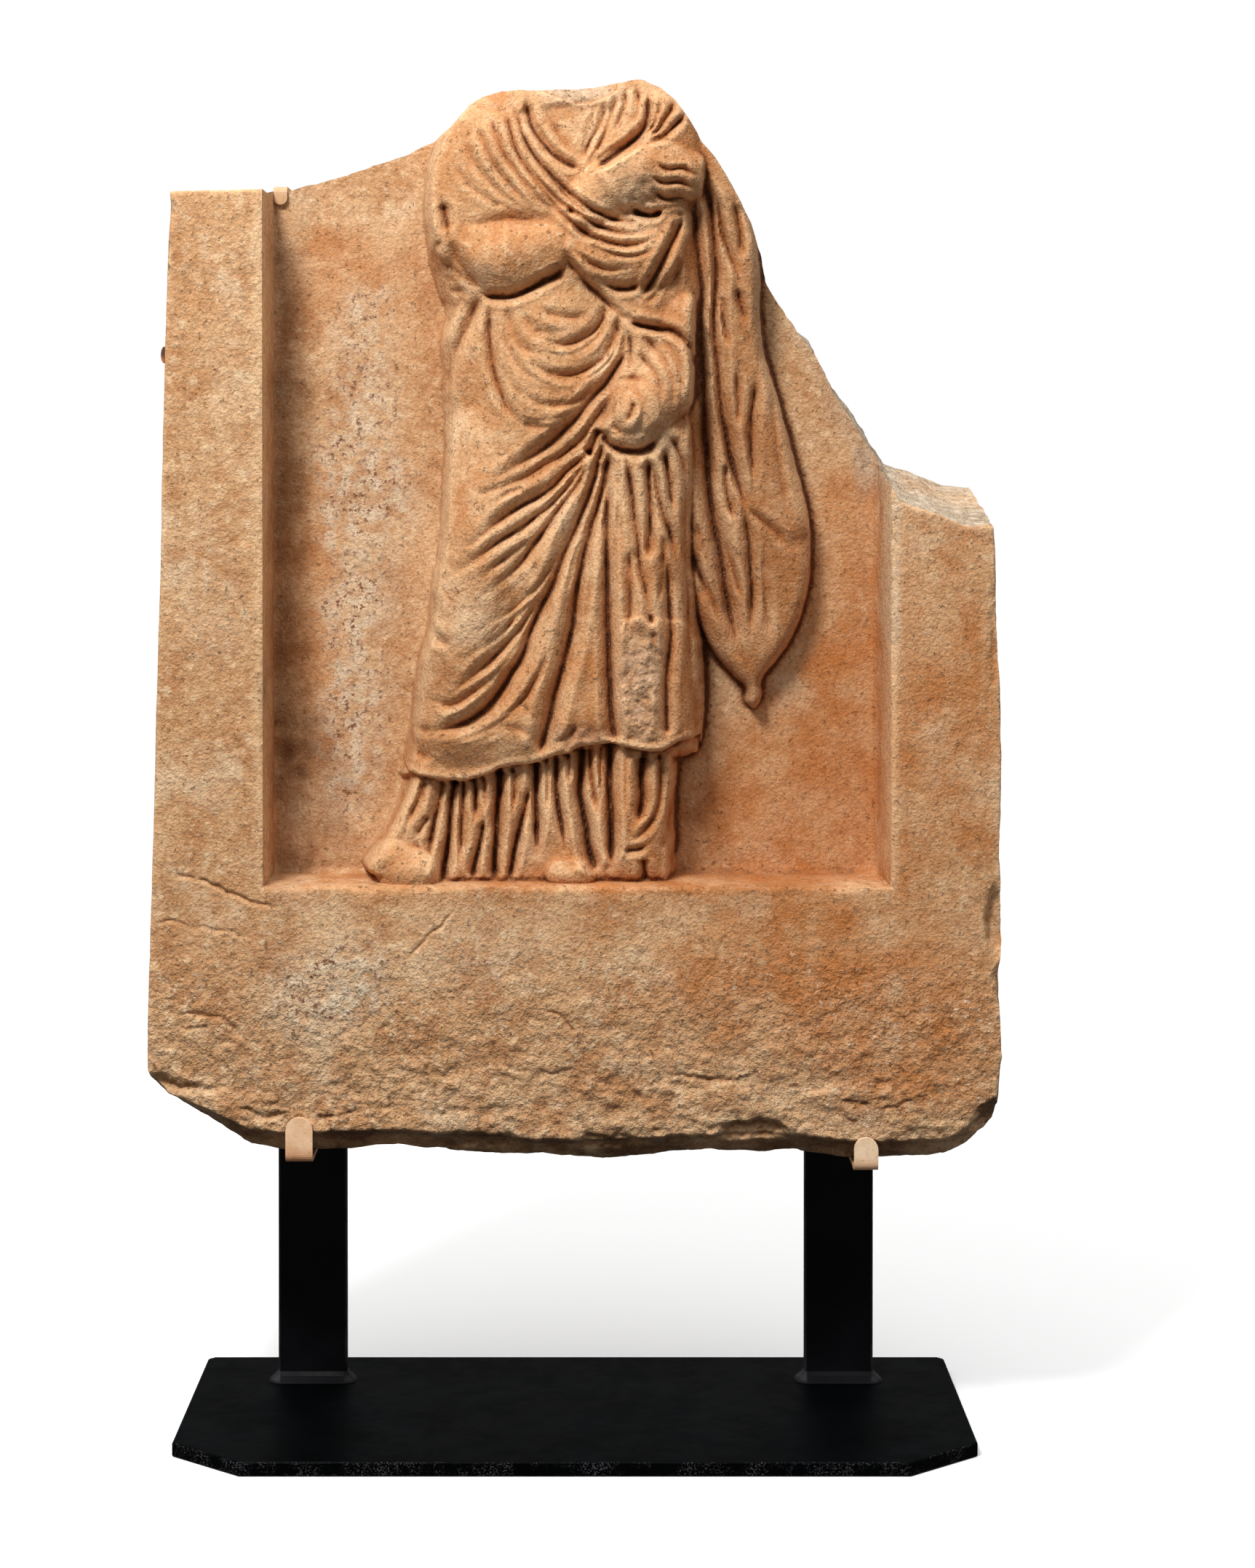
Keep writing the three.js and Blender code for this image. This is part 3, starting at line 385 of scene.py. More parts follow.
SWEEP = [
    (3.8, 6.0, [(38, 762), (30, 748), (22, 736), (10, 722), (0, 710), (-10, 700), (-20, 691), (-32, 683),
     (-45, 675), (-54, 670)], 0.12, 0.3),
    (3.4, 5.0, [(27, 730), (20, 718), (11, 706), (2, 695), (-8, 686), (-20, 679), (-34, 671), (-50, 664),
     (-64, 659)], 0.15, 0.45),
    (2.6, 3.4, [(37, 770), (38, 756), (36, 742)]),
    (2.2, 1.8, [(14, 700), (4, 690), (-8, 682), (-24, 675)]),
    (4.2, 7.0, [(17, 704), (12, 692), (8, 686)], 0.1, 0.1),
    (3.4, 5.5, [(10, 688), (2, 681), (-6, 674), (-16, 663), (-28, 655), (-40, 648), (-52, 640), (-64, 630),
     (-72, 624)], 0.1, 0.4),
    (2.4, 1.8, [(-34, 664), (-44, 660), (-52, 654)]),
    (3.2, 5.0, [(8, 684), (0, 670), (-8, 660), (-18, 650), (-30, 641), (-44, 632), (-60, 620), (-72, 612),
     (-82, 606)], 0.12, 0.45),
    (3.2, 5.0, [(10, 682), (5, 672), (-2, 660), (-11, 648), (-20, 636), (-28, 624), (-37, 612), (-48, 601),
     (-60, 592)], 0.15, 0.45),
    (2.4, 2.4, [(-30, 630), (-38, 622), (-50, 613), (-62, 603)]),
    (4.2, 7.5, [(20, 697), (17, 683), (13, 668), (8, 655), (2, 640), (-3, 628), (-8, 615), (-14, 600),
     (-20, 588), (-26, 575), (-31, 562), (-36, 548), (-43, 536), (-51, 523), (-61, 511), (-73, 503),
     (-87, 498), (-100, 496)], 0.05, 0.12),
    (2.8, 3.4, [(-2, 640), (-8, 624), (-15, 610), (-24, 598), (-34, 587), (-46, 577), (-60, 570)], 0.3,
     0.5),
    (3.4, 4.6, [(-10, 606), (-19, 592), (-28, 580), (-38, 566), (-50, 552), (-62, 541), (-74, 530),
     (-86, 521)], 0.25, 0.35),
    (2.8, 2.6, [(-24, 592), (-36, 578), (-50, 564), (-64, 553), (-78, 546)], 0.3, 0.5),
    (4.4, 8.5, [(23, 690), (21, 672), (18, 658), (15, 648), (11, 635), (7, 620), (3, 602), (1, 586),
     (-1, 570), (-5, 553), (-9, 538), (-14, 520), (-19, 500), (-23, 485), (-24, 478)], 0.05, 0.05),
    (2.8, 3.4, [(10, 648), (5, 630), (0, 612), (-4, 594), (-7, 576), (-12, 560)], 0.3, 0.5),
    (2.6, 2.6, [(-14, 560), (-20, 544), (-28, 528), (-38, 515), (-50, 506), (-62, 501)], 0.4, 0.4),
    (2.6, 2.4, [(12, 612), (9, 590), (6, 568), (2, 545)], 0.3, 0.5),
    (3.2, 6.5, [(23, 676), (22, 650), (22, 610), (23, 560), (24, 520), (26, 500), (27, 488)], 0.1, 0.03),
    (2.4, 2.0, [(31, 680), (30, 650), (31, 620)]),
]
RIGHT_LEG = [
    (3.0, 5.5, [(35, 690), (37, 672), (40, 655), (42, 635), (44, 615), (47, 600), (50, 586), (53, 572)]),
    (3.4, 6.5, [(50, 686), (51, 665), (52, 648), (51, 630), (49, 612)], 0.15, 0.15),
    (3.0, 5.5, [(52, 684), (55, 668), (59, 652), (63, 638), (68, 624), (72, 608)]),
    (2.6, 5.5, [(61, 692), (64, 673), (66, 658), (69, 643)]),
    (2.8, 4.0, [(37, 622), (38, 600), (38, 580), (36, 564)]),
    (2.4, 3.0, [(60, 634), (61, 615), (60, 596), (56, 580)]),
    (3.2, 6.0, [(62, 620), (64, 600), (65, 580), (66, 562), (64, 545), (63, 520), (63, 492)], 0.2, 0.05),
    (2.8, 4.0, [(78, 700), (77, 665), (76, 630), (78, 590), (80, 550), (82, 520), (84, 490)], 0.3, 0.05),
    (2.4, 2.4, [(54, 566), (55, 554), (57, 545)]),
]
SLEEVE = [
    (2.4, 4.6, [(37, 777), (46, 775), (56, 773), (66, 771), (74, 766), (80, 758), (82, 748)], 0.1, 0.1),
    (2.6, 2.6, [(44, 771), (54, 760), (62, 748), (67, 734), (66, 716)]),
    (2.4, 2.4, [(40, 757), (50, 748), (57, 736), (61, 722)]),
    (2.4, 2.2, [(56, 768), (66, 756), (72, 742), (73, 724)]),
    (3.2, 5.0, [(18, 702), (22, 694), (30, 690), (40, 688), (50, 690), (58, 697)], 0.1, 0.2),
    (1.8, 3.0, [(40, 722), (38, 714), (34, 708)]),
    (2.4, 2.6, [(57, 708), (54, 700), (47, 695)]),
    (2.0, 1.6, [(30, 736), (40, 738), (50, 732), (57, 722)]),
    (2.8, 3.6, [(64, 700), (70, 690), (76, 676), (80, 662)]),
]
LOWER_HEM = [
    (3.0, 3.4, [(-100, 518), (-84, 514), (-70, 522), (-58, 532), (-46, 546)], 0.3, 0.4),
    (2.8, 2.2, [(-90, 488), (-74, 492), (-58, 498), (-44, 508), (-34, 520)], 0.4, 0.4),
    (2.4, 1.8, [(-110, 480), (-102, 477)]),
    (2.6, 2.2, [(-112, 500), (-104, 497), (-96, 496)]),
    (2.4, 2.6, [(-98, 592), (-96, 580), (-97, 572)]),
    (2.6, 2.0, [(-101, 568), (-94, 560), (-84, 554)]),
    (2.4, 1.6, [(-50, 500), (-36, 496), (-28, 490)]),
    (2.6, 2.4, [(2, 500), (-6, 492), (-18, 486)]),
]
DRESS = [
    (2.6, 5.0, [(-112, 466), (-118, 452), (-125, 436), (-134, 422), (-143, 411)]),
    (2.2, 3.0, [(-103, 462), (-109, 446), (-117, 430)]),
    (2.2, 4.0, [(-101, 438), (-105, 430), (-110, 421)]),
    (2.8, 6.5, [(-91, 461), (-94, 448), (-97, 432), (-101, 412)], 0.05, 0.2),
    (3.0, 9.0, [(-83, 461), (-86, 445), (-87, 425), (-89, 410), (-92, 390)], 0.03, 0.1),
    (2.3, 6.5, [(-77, 461), (-78, 440), (-79, 420), (-80, 404)], 0.05, 0.3),
    (2.2, 5.0, [(-70, 463), (-69, 448), (-70, 434)], 0.05, 0.3),
    (2.4, 6.0, [(-62, 436), (-65, 420), (-69, 405), (-71, 394)], 0.2, 0.1),
    (2.0, 3.5, [(-64, 464), (-62, 452), (-62, 440)], 0.05, 0.3),
    (3.0, 9.5, [(-52, 468), (-53, 450), (-54, 430), (-55, 410), (-56, 392)], 0.03, 0.1),
    (2.0, 3.0, [(-43, 470), (-42, 452), (-43, 438)], 0.05, 0.4),
    (2.6, 6.5, [(-32, 458), (-35, 440), (-39, 425), (-42, 412), (-46, 393)], 0.15, 0.1),
    (2.8, 9.0, [(-27, 474), (-27, 455), (-27, 435), (-26, 410)], 0.03, 0.3),
    (2.0, 4.0, [(-20, 477), (-19, 455), (-20, 436)], 0.05, 0.4),
    (2.5, 6.5, [(-13, 478), (-13, 460), (-12, 445), (-9, 428), (-7, 414)], 0.05, 0.3),
    (2.0, 4.0, [(-5, 480), (-4, 470), (-4, 456)], 0.05, 0.4),
    (3.3, 11.0, [(5, 484), (4, 466), (4, 450), (6, 438), (8, 425), (10, 412), (13, 396)], 0.03, 0.1),
    (2.4, 6.0, [(10, 484), (11, 466), (13, 450), (16, 436)], 0.05, 0.3),
    (2.0, 3.5, [(18, 485), (18, 466), (19, 446)], 0.05, 0.4),
    (3.1, 10.0, [(24, 488), (24, 470), (24, 450), (25, 430), (25, 402)], 0.03, 0.15),
    (3.2, 8.0, [(47, 478), (46, 462), (46, 448), (43, 432)], 0.05, 0.2),
    (2.2, 3.5, [(58, 481), (59, 460), (57, 444), (50, 430), (40, 420)], 0.05, 0.2),
    (2.0, 3.0, [(33, 414), (42, 414), (50, 417)]),
    (2.2, 4.0, [(47, 408), (48, 400), (48, 392)], 0.1, 0.1),
    (2.0, 1.4, [(-16, 402), (-4, 404), (8, 404)]),
    (2.0, 2.0, [(66, 440), (63, 424), (60, 410)]),
]
HANGING = [
    (4.2, 9.0, [(84, 868), (83, 848), (85, 830), (87, 812), (88, 795), (87, 775), (88, 755), (89, 735),
     (90, 712), (91, 690), (93, 668), (95, 650), (99, 628), (104, 600), (109, 572), (113, 548)], 0.08,
     0.12),
    (3.6, 8.0, [(88, 880), (92, 866), (95, 848), (97, 828), (98, 810), (97, 790), (97, 768), (99, 745),
     (101, 722), (104, 704), (108, 686), (113, 668), (119, 648)], 0.08, 0.12),
    (3.0, 5.5, [(97, 868), (100, 850), (104, 834), (109, 820), (114, 806)]),
    (2.8, 4.6, [(100, 800), (102, 784), (105, 768), (107, 758)]),
    (2.8, 4.6, [(110, 862), (113, 848), (115, 834), (115, 818)]),
    (2.6, 3.2, [(112, 802), (115, 790), (119, 776)]),
    (2.8, 4.0, [(126, 742), (124, 725), (122, 708), (123, 680), (124, 658)]),
    (2.4, 3.0, [(112, 744), (113, 722), (113, 704)]),
    (2.6, 5.0, [(104, 682), (105, 665), (107, 652), (111, 638)]),
    (2.6, 4.4, [(102, 632), (106, 615), (110, 604), (118, 582)]),
    (2.8, 4.6, [(117, 652), (120, 632), (122, 610), (123, 584), (122, 560)]),
    (2.8, 4.4, [(80, 622), (85, 606), (91, 594), (97, 582), (104, 566)]),
    (2.4, 2.0, [(131, 622), (132, 590), (136, 552)]),
    (2.4, 2.6, [(119, 650), (130, 640), (140, 632), (149, 620)]),
    (2.4, 1.8, [(136, 742), (138, 710), (143, 672), (150, 636)]),
    (2.4, 2.2, [(84, 640), (90, 620), (97, 604)]),
]
CRACKS = [
    (1.3, 2.4, [(-288, 403), (-268, 397), (-250, 391), (-240, 385), (-222, 380), (-197, 373)]),
    (1.4, 2.2, [(-278, 303), (-258, 301), (-242, 299), (-230, 287), (-218, 280)]),
    (1.2, 1.6, [(-268, 292), (-252, 294)]),
    (1.3, 1.8, [(-37, 306), (-24, 303), (-12, 302), (5, 284)]),
    (1.2, 1.1, [(-262, 360), (-240, 358), (-220, 355)]),
    (1.2, 1.3, [(-286, 362), (-276, 366), (-264, 361)]),
    (2.4, 3.2, [(-288, 255), (-268, 252), (-244, 249)]),
    (2.2, 3.0, [(-234, 238), (-214, 232), (-196, 234)]),
    (1.9, 2.6, [(-180, 230), (-162, 232), (-146, 234)]),
    (1.7, 2.0, [(-120, 238), (-96, 232), (-70, 236)]),
    (1.2, 1.5, [(-129, 326), (-112, 343), (-98, 358), (-78, 378)]),
    (1.6, 1.8, [(60, 262), (92, 255), (130, 258)]),
    (1.4, 1.6, [(170, 244), (206, 238), (240, 243)]),
    (1.2, 1.2, [(-60, 268), (-20, 262), (20, 266)]),
]
HEM = [
    (-123, 476), (-115, 467), (-105, 465), (-95, 463), (-80, 461.5), (-70, 463), (-60, 467), (-50, 471),
    (-40, 473), (-28, 474), (-15, 479), (-5, 481), (2, 485), (15, 487), (28, 488), (40, 485), (50, 483),
    (60, 483), (72, 489), (84, 491), (96, 492)]
SHORT_PITS = [
    (-52, 467, 2.6, 8), (-83, 459, 2.6, 7), (48, 478, 3.2, 8), (-3, 852, 2.4, 5), (57, 852, 2.6, 5),
    (72, 851, 2.0, 4), (9, 687, 3.0, 6), (52, 573, 2.6, 6), (71, 405, 5.0, 8), (-5, 478, 2.0, 4),
    (79, 760, 2.4, 4), (82, 750, 2.2, 4), (-93, 831, 1.8, 3)]


# The leg's broken patch, and worn spots on the hand, the hem's lip and the mantle's edge: middle, stretch
# in width and height, where the wear ends and where it is full, its depth, and the height, size and seed
# of its lumps
BROKEN_LEG = [(33, 560), (40, 573), (52, 566), (59, 545), (60, 505), (57, 487), (32, 489), (30, 530)]
WORN_SPOTS = [
    (42, 866, 1.1, 1, 18, 6, 1.4, 1.8, 7, 13),
    (8, 489, 1.8, 1, 16, 6, 1.6, 1.8, 8, 14),
    (156, 622, 1, 1.3, 12, 4, 2.0, 1.6, 8, 15),
]

# Chips out of the slab's front: middle, half width, half height and depth
CHIPS = [
    (290, 365, 9, 30, 7), (294, 322, 8, 16, 5), (-264, 800, 5, 16, 1.6), (122, 221, 30, 9, 8),
    (-292, 250, 16, 12, 6), (292, 226, 20, 16, 9), (-66, 213, 30, 8, 5), (20, 212, 26, 7, 5),
    (-168, 214, 16, 7, 4), (-277, 852, 6, 12, 3), (288, 560, 5, 40, 2.5), (-286, 700, 4, 40, 2)]


class Carving:
    """Furrows gathered over the stone's front: how deep they cut, and how high it rises beside them."""

    def __init__(self, x, z, sway, size, seed):
        self.row = x[0]
        self.column = z[:, 0]
        self.x = x + sway * swells(x, z, size, seed, 3)
        self.z = z + sway * swells(x, z, size, seed + 1, 3)
        self.cut = np.zeros(x.shape)
        self.rise = np.zeros(x.shape)

    def window(self, line, reach):
        """The rows and columns of the front that lie within reach of a line."""
        low, high = line.min(0) - reach, line.max(0) + reach
        i0, i1 = np.searchsorted(self.row, [low[0], high[0]])
        j0, j1 = np.searchsorted(self.column, [low[1], high[1]])
        return slice(j0, j1), slice(i0, i1)

    def furrow(self, half_width, depth, points, fade_in=0.2, fade_out=0.3, roll=0.34, spread=1.28):
        """A sharp trough at the bottom of a wide one, between two round rolls, fading at its ends."""
        line = curve(points, 5)
        half_width = half_width * spread
        window = self.window(line, half_width * 3.6)
        x = self.x[window]
        z = self.z[window]
        if x.size == 0:
            return
        distance, share = nearest(line, x, z)
        taper = (0.15 + 0.85 * ease(0, fade_in, share)) * (0.15 + 0.85 * ease(0, fade_out, 1 - share))
        width = half_width * (0.55 + 0.45 * taper)
        u = np.sqrt((distance / width) ** 2 + 0.016) - 0.1265
        trough = 0.66 * np.clip(1 - u, 0, 1) ** 1.5 + 0.34 * np.exp(-(u / 1.25) ** 2)
        bank = np.exp(-((u - 2.0) / 0.75) ** 2)
        self.cut[window] = np.maximum(self.cut[window], depth * taper * trough)
        self.rise[window] = np.maximum(self.rise[window], roll * depth * taper * bank)


def rolled(distance, edge, top, reach):
    """Height inside a closed outline, from edge at its border to top, falling away fast outside."""
    t = np.clip(distance / reach, 0, 1)
    height = edge + (top - edge) * np.sqrt(1 - (1 - t) ** 2)
    return np.where(distance > 0, height, edge + distance * 6)


def limb_height(x, z, points, radii, tops):
    """Height of a round limb along its middle line, falling away fast outside."""
    distance, share = nearest(curve(points), x, z)
    radius = np.interp(share, np.linspace(0, 1, len(radii)), radii)
    top = np.interp(share, np.linspace(0, 1, len(tops)), tops)
    u = np.clip(distance / radius, 0, 1)
    return top - radius * (1 - np.sqrt(1 - u * u)) - np.maximum(distance - radius, 0) * 2.5


def clothed_body(x, z, u, v):
    """Height of the body, the skirt and the mantle with all limbs, and the distance inside the body."""
    rim_x, rim_z = seen(x, z, rim_depth)
    body = within(BODY, rim_x, rim_z) + 0.8 * swells(x, z, 9, 3, 2)
    skirt = within(SKIRT, rim_x, rim_z) + 0.6 * swells(x, z, 8, 4, 2)
    mantle = within(MANTLE, rim_x, rim_z) + 0.6 * swells(x, z, 9, 5, 2)
    foot = within(FOOT, rim_x, rim_z)
    tops = np.interp(v, *zip(*BODY_TOPS))
    height = soft_max(rolled(body, 16, tops, 46), rolled(skirt, 17, tops - 7, 13), 2)
    for points, radii, heights in LIMBS:
        height = soft_max(height, limb_height(u, v, points, radii, heights), 7)

    # The limbs too are rounded off towards the outline, and end at it.
    rim_height = 12
    to_rim = np.maximum(np.maximum(body, skirt), foot)
    rounded = rim_height + (height - rim_height) * np.sqrt(np.clip(to_rim / 7, 0, 1))
    outside = np.minimum(height, rim_height + to_rim * 6)
    height = np.where(to_rim > 0, np.minimum(height, rounded), outside)
    mantle_tops = np.interp(v, *zip(*MANTLE_TOPS))
    height = soft_max(height, rolled(mantle, rim_height, mantle_tops, 10), 2)
    for points, thickness, softness in LAYERS:
        height = height + thickness * ease(-0.8, softness, within(points, u, v))
    return height, body


def with_drapery(height, body, u, v):
    """The height with its furrows and pits, and the mantle's hem with the dress set back under it."""
    carving = Carving(u, v, 0.7, 15, 91)
    for row in NECK + HAND:
        carving.furrow(*row, roll=0.42, spread=1.05)
    for row in ARM + WAIST + SWEEP + RIGHT_LEG + SLEEVE + LOWER_HEM + DRESS + HANGING:
        carving.furrow(*row)
    height = height + carving.rise - 1.55 * carving.cut
    for px, pz, radius, depth in SHORT_PITS:
        height = height - depth * np.exp(-((u - px) ** 2 + (v - pz) ** 2) / radius ** 2)

    below_hem = np.interp(u, *zip(*HEM)) - v
    step = 7.5 * ease(0, 1.2, below_hem) * (1 - 0.75 * ease(0, 62, below_hem))
    height = height - np.where(u < 88, step, 0)
    return height + 1.6 * np.exp(-((below_hem + 2.5) / 2.2) ** 2) * (body > 2)


def with_wear(height, x, z, u, v):
    """The height after the neck and a patch of the leg have broken off and other places have worn."""
    from_break = nearest(curve(NECK_BREAK), u, v)[0]
    neck_gone = (np.interp(u, *zip(*NECK_BREAK)) < v) & (u > -25) & (u < 29)
    break_face = height - 4 - 0.25 * from_break + 1.2 * swells(x, z, 6, 11)
    height = np.where(neck_gone, break_face, height)
    leg = inside(curve(BROKEN_LEG), u, v) + 5.0 * swells(x, z, 12, 18, 3)
    rubble = 2.6 * swells(x, z, 11, 12, 5) + 1.6 * np.abs(swells(x, z, 5, 19, 3))
    height = height - ease(-3, 6, leg) * (0.8 + rubble + 1.4 * ease(510, 545, v)) * ease(576, 562, v)
    for cx, cz, wide, high, end, full, depth, lump, size, seed in WORN_SPOTS:
        from_middle = np.hypot((u - cx) / wide, (v - cz) / high)
        height = height - ease(end, full, from_middle) * (depth + lump * swells(x, z, size, seed))
    return height + 0.5 * swells(x, z, 7, 16, 3) + 0.9 * swells(x, z, 26, 17, 2)


def figure_height(x, z):
    """Height of the carved figure above the niche wall."""
    u, v = seen(x, z, fold_depth)
    height, body = clothed_body(x, z, u, v)
    return with_wear(with_drapery(height, body, u, v), x, z, u, v)


def broken_face(x, z):
    """The y of the slab's flat front, with a chipped rim and scratches, and rougher low down."""
    to_edge = inside(outline_at(front_y), x, z)
    low_block = ease(400, 250, z)
    roughness = 0.35 + 1.3 * ease(335, 215, z) + 0.5 * low_block
    face = front_y + roughness * (swells(x, z, 34, 21, 5, 2.2) + 0.4)
    face = face + 0.25 * swells(x, z, 6, 22, 3) + 0.5 * swells(x, z, 120, 23, 2)
    splits = swells(x + 0.5 * z, z, 13, 24, 4, 5)
    face = face + ease(300, 215, z) * 2.2 * np.clip(splits - 0.1, 0, 1) ** 0.8
    lumps = np.abs(swells(x, z, 19, 26, 4)) + 0.8 * np.abs(swells(x, z, 10, 27, 3))
    face = face - (0.25 + 1.5 * low_block + 0.6 * ease(330, 230, z)) * (lumps - 0.4)
    rim_radius = np.clip(2.2 + 1.6 * swells(x, z, 20, 25, 3), 0.8, 9)
    face = face + rounding(to_edge, rim_radius) + np.clip(-to_edge, 0, 20) * 1.4
    for cx, cz, half_x, half_z, depth in CHIPS:
        ragged = 0.35 * swells(x, z, 12, int(cx + cz) % 97, 3)
        reach = np.hypot((x - cx) / half_x, (z - cz) / half_z) + ragged
        face = face + depth * ease(1.1, 0.35, reach)
    scratches = Carving(x, z, 3.2, 13, 95)
    for row in CRACKS:
        scratches.furrow(*row, roll=0.15, spread=1)
    broken_up = ease(-0.6, 0.1, swells(x, z, 15, 97, 3))
    return face + (scratches.cut - scratches.rise) * broken_up


def worn_edges(face, x, z):
    """The front with the niche's edges worn: most at the right jamb's upper part and along the ledge."""
    rising = ease(520, 560, z)
    falling = ease(665, 640, z)
    worn = 0.8 + 3.2 * rising * falling + 0.8 * swells(x, z, 24, 33, 3)
    reach = 3 + 5 * rising * falling
    right_edge = np.clip(1 - (x - niche_right) / reach, 0, 1) * (x >= niche_right) * (z > ledge_z - 6)
    left_edge = np.clip(1 - (niche_left - x) / 3, 0, 1) * (x <= niche_left) * (z > ledge_z - 3)
    ledge_reach = np.maximum(5 + 5 * swells(x, z, 34, 35, 4), 1.5)
    ledge_edge = np.clip(1 - (ledge_z - z) / ledge_reach, 0, 1) * (z <= ledge_z)
    ledge_edge = ledge_edge * ease(niche_left - 4, niche_left + 2, x)
    ledge_edge = ledge_edge * ease(niche_right + 4, niche_right - 2, x)
    ledge_wear = np.clip(5 + 6 * swells(x, z, 26, 34, 4), 1, 9)
    face = face + np.clip(worn, 0.3, 6) * right_edge ** 2 + 0.9 * left_edge ** 2
    return face + ledge_wear * (1 - np.sqrt(1 - ledge_edge ** 2))


def niche_wall(x, z):
    """The y of the niche's back wall, rounded into its sides and foot, with a splayed right side."""
    wall = wall_y - 0.45 * swells(x, z, 30, 31, 5) - 0.3 * swells(x, z, 5, 32, 3)
    wall = wall - rounding(x - niche_left, 2.0)
    wall = wall - rounding(niche_right - niche_splay - x, 7.0)
    wall = wall - rounding(z - ledge_z, 6 + 3 * swells(x, z, 30, 36, 2))
    up_side = 1 - np.clip((niche_right - x) / niche_splay, 0, 1)
    side = wall - 2 + (front_y + 4 - wall) * up_side
    return np.where(x > niche_right - niche_splay, side, wall)


def stone_front(x, z):
    """The y of the whole front: the broken face, the niche and the figure in it."""
    niche = (x > niche_left) & (x < niche_right) & (z > ledge_z)
    surface = np.where(niche, niche_wall(x, z), worn_edges(broken_face(x, z), x, z))
    around_figure = np.ix_((zs > 370) & (zs < 960), (xs > -190) & (xs < 200))
    figure = np.zeros(x.shape)
    figure[around_figure] = figure_height(x[around_figure], z[around_figure])
    return np.where(figure > 0.5, np.minimum(surface, wall_y - figure), surface)


# The height map of the front
margin = 6
xs = np.arange(stone_low[0] - margin, stone_high[0] + margin, grid_step)
zs = np.arange(stone_low[2] - margin, stone_high[2] + margin, grid_step)
front = stone_front(*np.meshgrid(xs, zs))


def mesh_lines(places, steep):
    """Grid lines through the map, with 24 more wherever a side of the niche stands."""
    extra = [np.linspace(low, high, 24) for low, high in steep]
    return np.sort(np.concatenate([places] + extra))


def settled():
    """Mesh points over the map, moved towards steep places, so that hems and edges get enough."""
    rounds = 10
    pull = 0.5
    beside = 1.3 * grid_step
    columns = mesh_lines(xs, [(niche_left - beside, niche_left + beside),
                              (niche_right - niche_splay - beside, niche_right + beside)])
    x, z = np.meshgrid(columns, mesh_lines(zs, [(ledge_z - beside, ledge_z + beside)]))
    y = picked(front, x, z)
    before, within_rim, after = slice(0, -2), slice(1, -1), slice(2, None)
    middle = (within_rim, within_rim)
    neighbours = [(before, within_rim), (after, within_rim), (within_rim, before), (within_rim, after)]
    for _ in range(rounds):
        weights = np.zeros(x[middle].shape)
        moved_x = np.zeros(weights.shape)
        moved_z = np.zeros(weights.shape)
        for other in neighbours:
            length = np.sqrt((x[other] - x[middle]) ** 2 + (z[other] - z[middle]) ** 2
                             + (y[other] - y[middle]) ** 2)
            weights += length
            moved_x += length * x[other]
            moved_z += length * z[other]
        x[middle] += pull * (moved_x / weights - x[middle])
        z[middle] += pull * (moved_z / weights - z[middle])
        y = picked(front, x, z)
    return x, y, z


def placed(name, data):
    """A new object in the scene, at the origin."""
    made = bpy.data.objects.new(name, data)
    bpy.context.scene.collection.objects.link(made)
    return made


def discard(piece):
    """Takes an object and its mesh out of the scene."""
    mesh = piece.data
    bpy.data.objects.remove(piece)
    bpy.data.meshes.remove(mesh)


def mesh_of(name, points, triangles):
    """An object with these points, in millimetres, and triangles."""
    mesh = bpy.data.meshes.new(name)
    mesh.vertices.add(len(points))
    mesh.vertices.foreach_set("co", (np.asarray(points) * MM).astype(np.float32).ravel())
    mesh.loops.add(triangles.size)
    mesh.loops.foreach_set("vertex_index", triangles.astype(np.int32).ravel())
    mesh.polygons.add(len(triangles))
    mesh.polygons.foreach_set("loop_start", np.arange(0, triangles.size, 3, dtype=np.int32))
    mesh.update(calc_edges=True)
    return placed(name, mesh)


def band(a, b):
    """Triangles between two rings of point numbers, the first in front, both anticlockwise from there."""
    a_next = np.roll(a, -1)
    b_next = np.roll(b, -1)
    return np.vstack([np.stack([a_next, a, b], 1), np.stack([a_next, b, b_next], 1)])


def relief_block():
    """A closed block with the stone's whole front, wider than the slab and deeper."""
    block_back = back_y + 20
    x, y, z = settled()
    points = np.stack([x, y, z], -1).reshape(-1, 3)
    numbers = np.arange(len(points)).reshape(x.shape)
    a, b, c, d = numbers[:-1, :-1], numbers[:-1, 1:], numbers[1:, 1:], numbers[1:, :-1]

    # Each cell is cut along the diagonal that changes its depth less.
    along_bd = (np.abs(y[:-1, :-1] - y[1:, 1:]) > np.abs(y[:-1, 1:] - y[1:, :-1]))[..., None]
    first = np.where(along_bd, np.stack([a, b, d], -1), np.stack([a, b, c], -1))
    second = np.where(along_bd, np.stack([b, c, d], -1), np.stack([a, c, d], -1))
    rim = np.concatenate([numbers[0, :-1], numbers[:-1, -1], numbers[-1, :0:-1], numbers[:0:-1, 0]])
    behind = points[rim] * [1, 0, 1] + [0, block_back, 0]
    centre = [[0, block_back, middle_z]]
    back = np.arange(len(rim)) + len(points)
    last = np.full(len(rim), len(points) + len(rim))
    fan = np.stack([np.roll(back, -1), back, last], 1)
    triangles = np.vstack([first.reshape(-1, 3), second.reshape(-1, 3), band(rim, back), fan])
    return mesh_of("relief_block", np.vstack([points, behind, centre]), triangles)


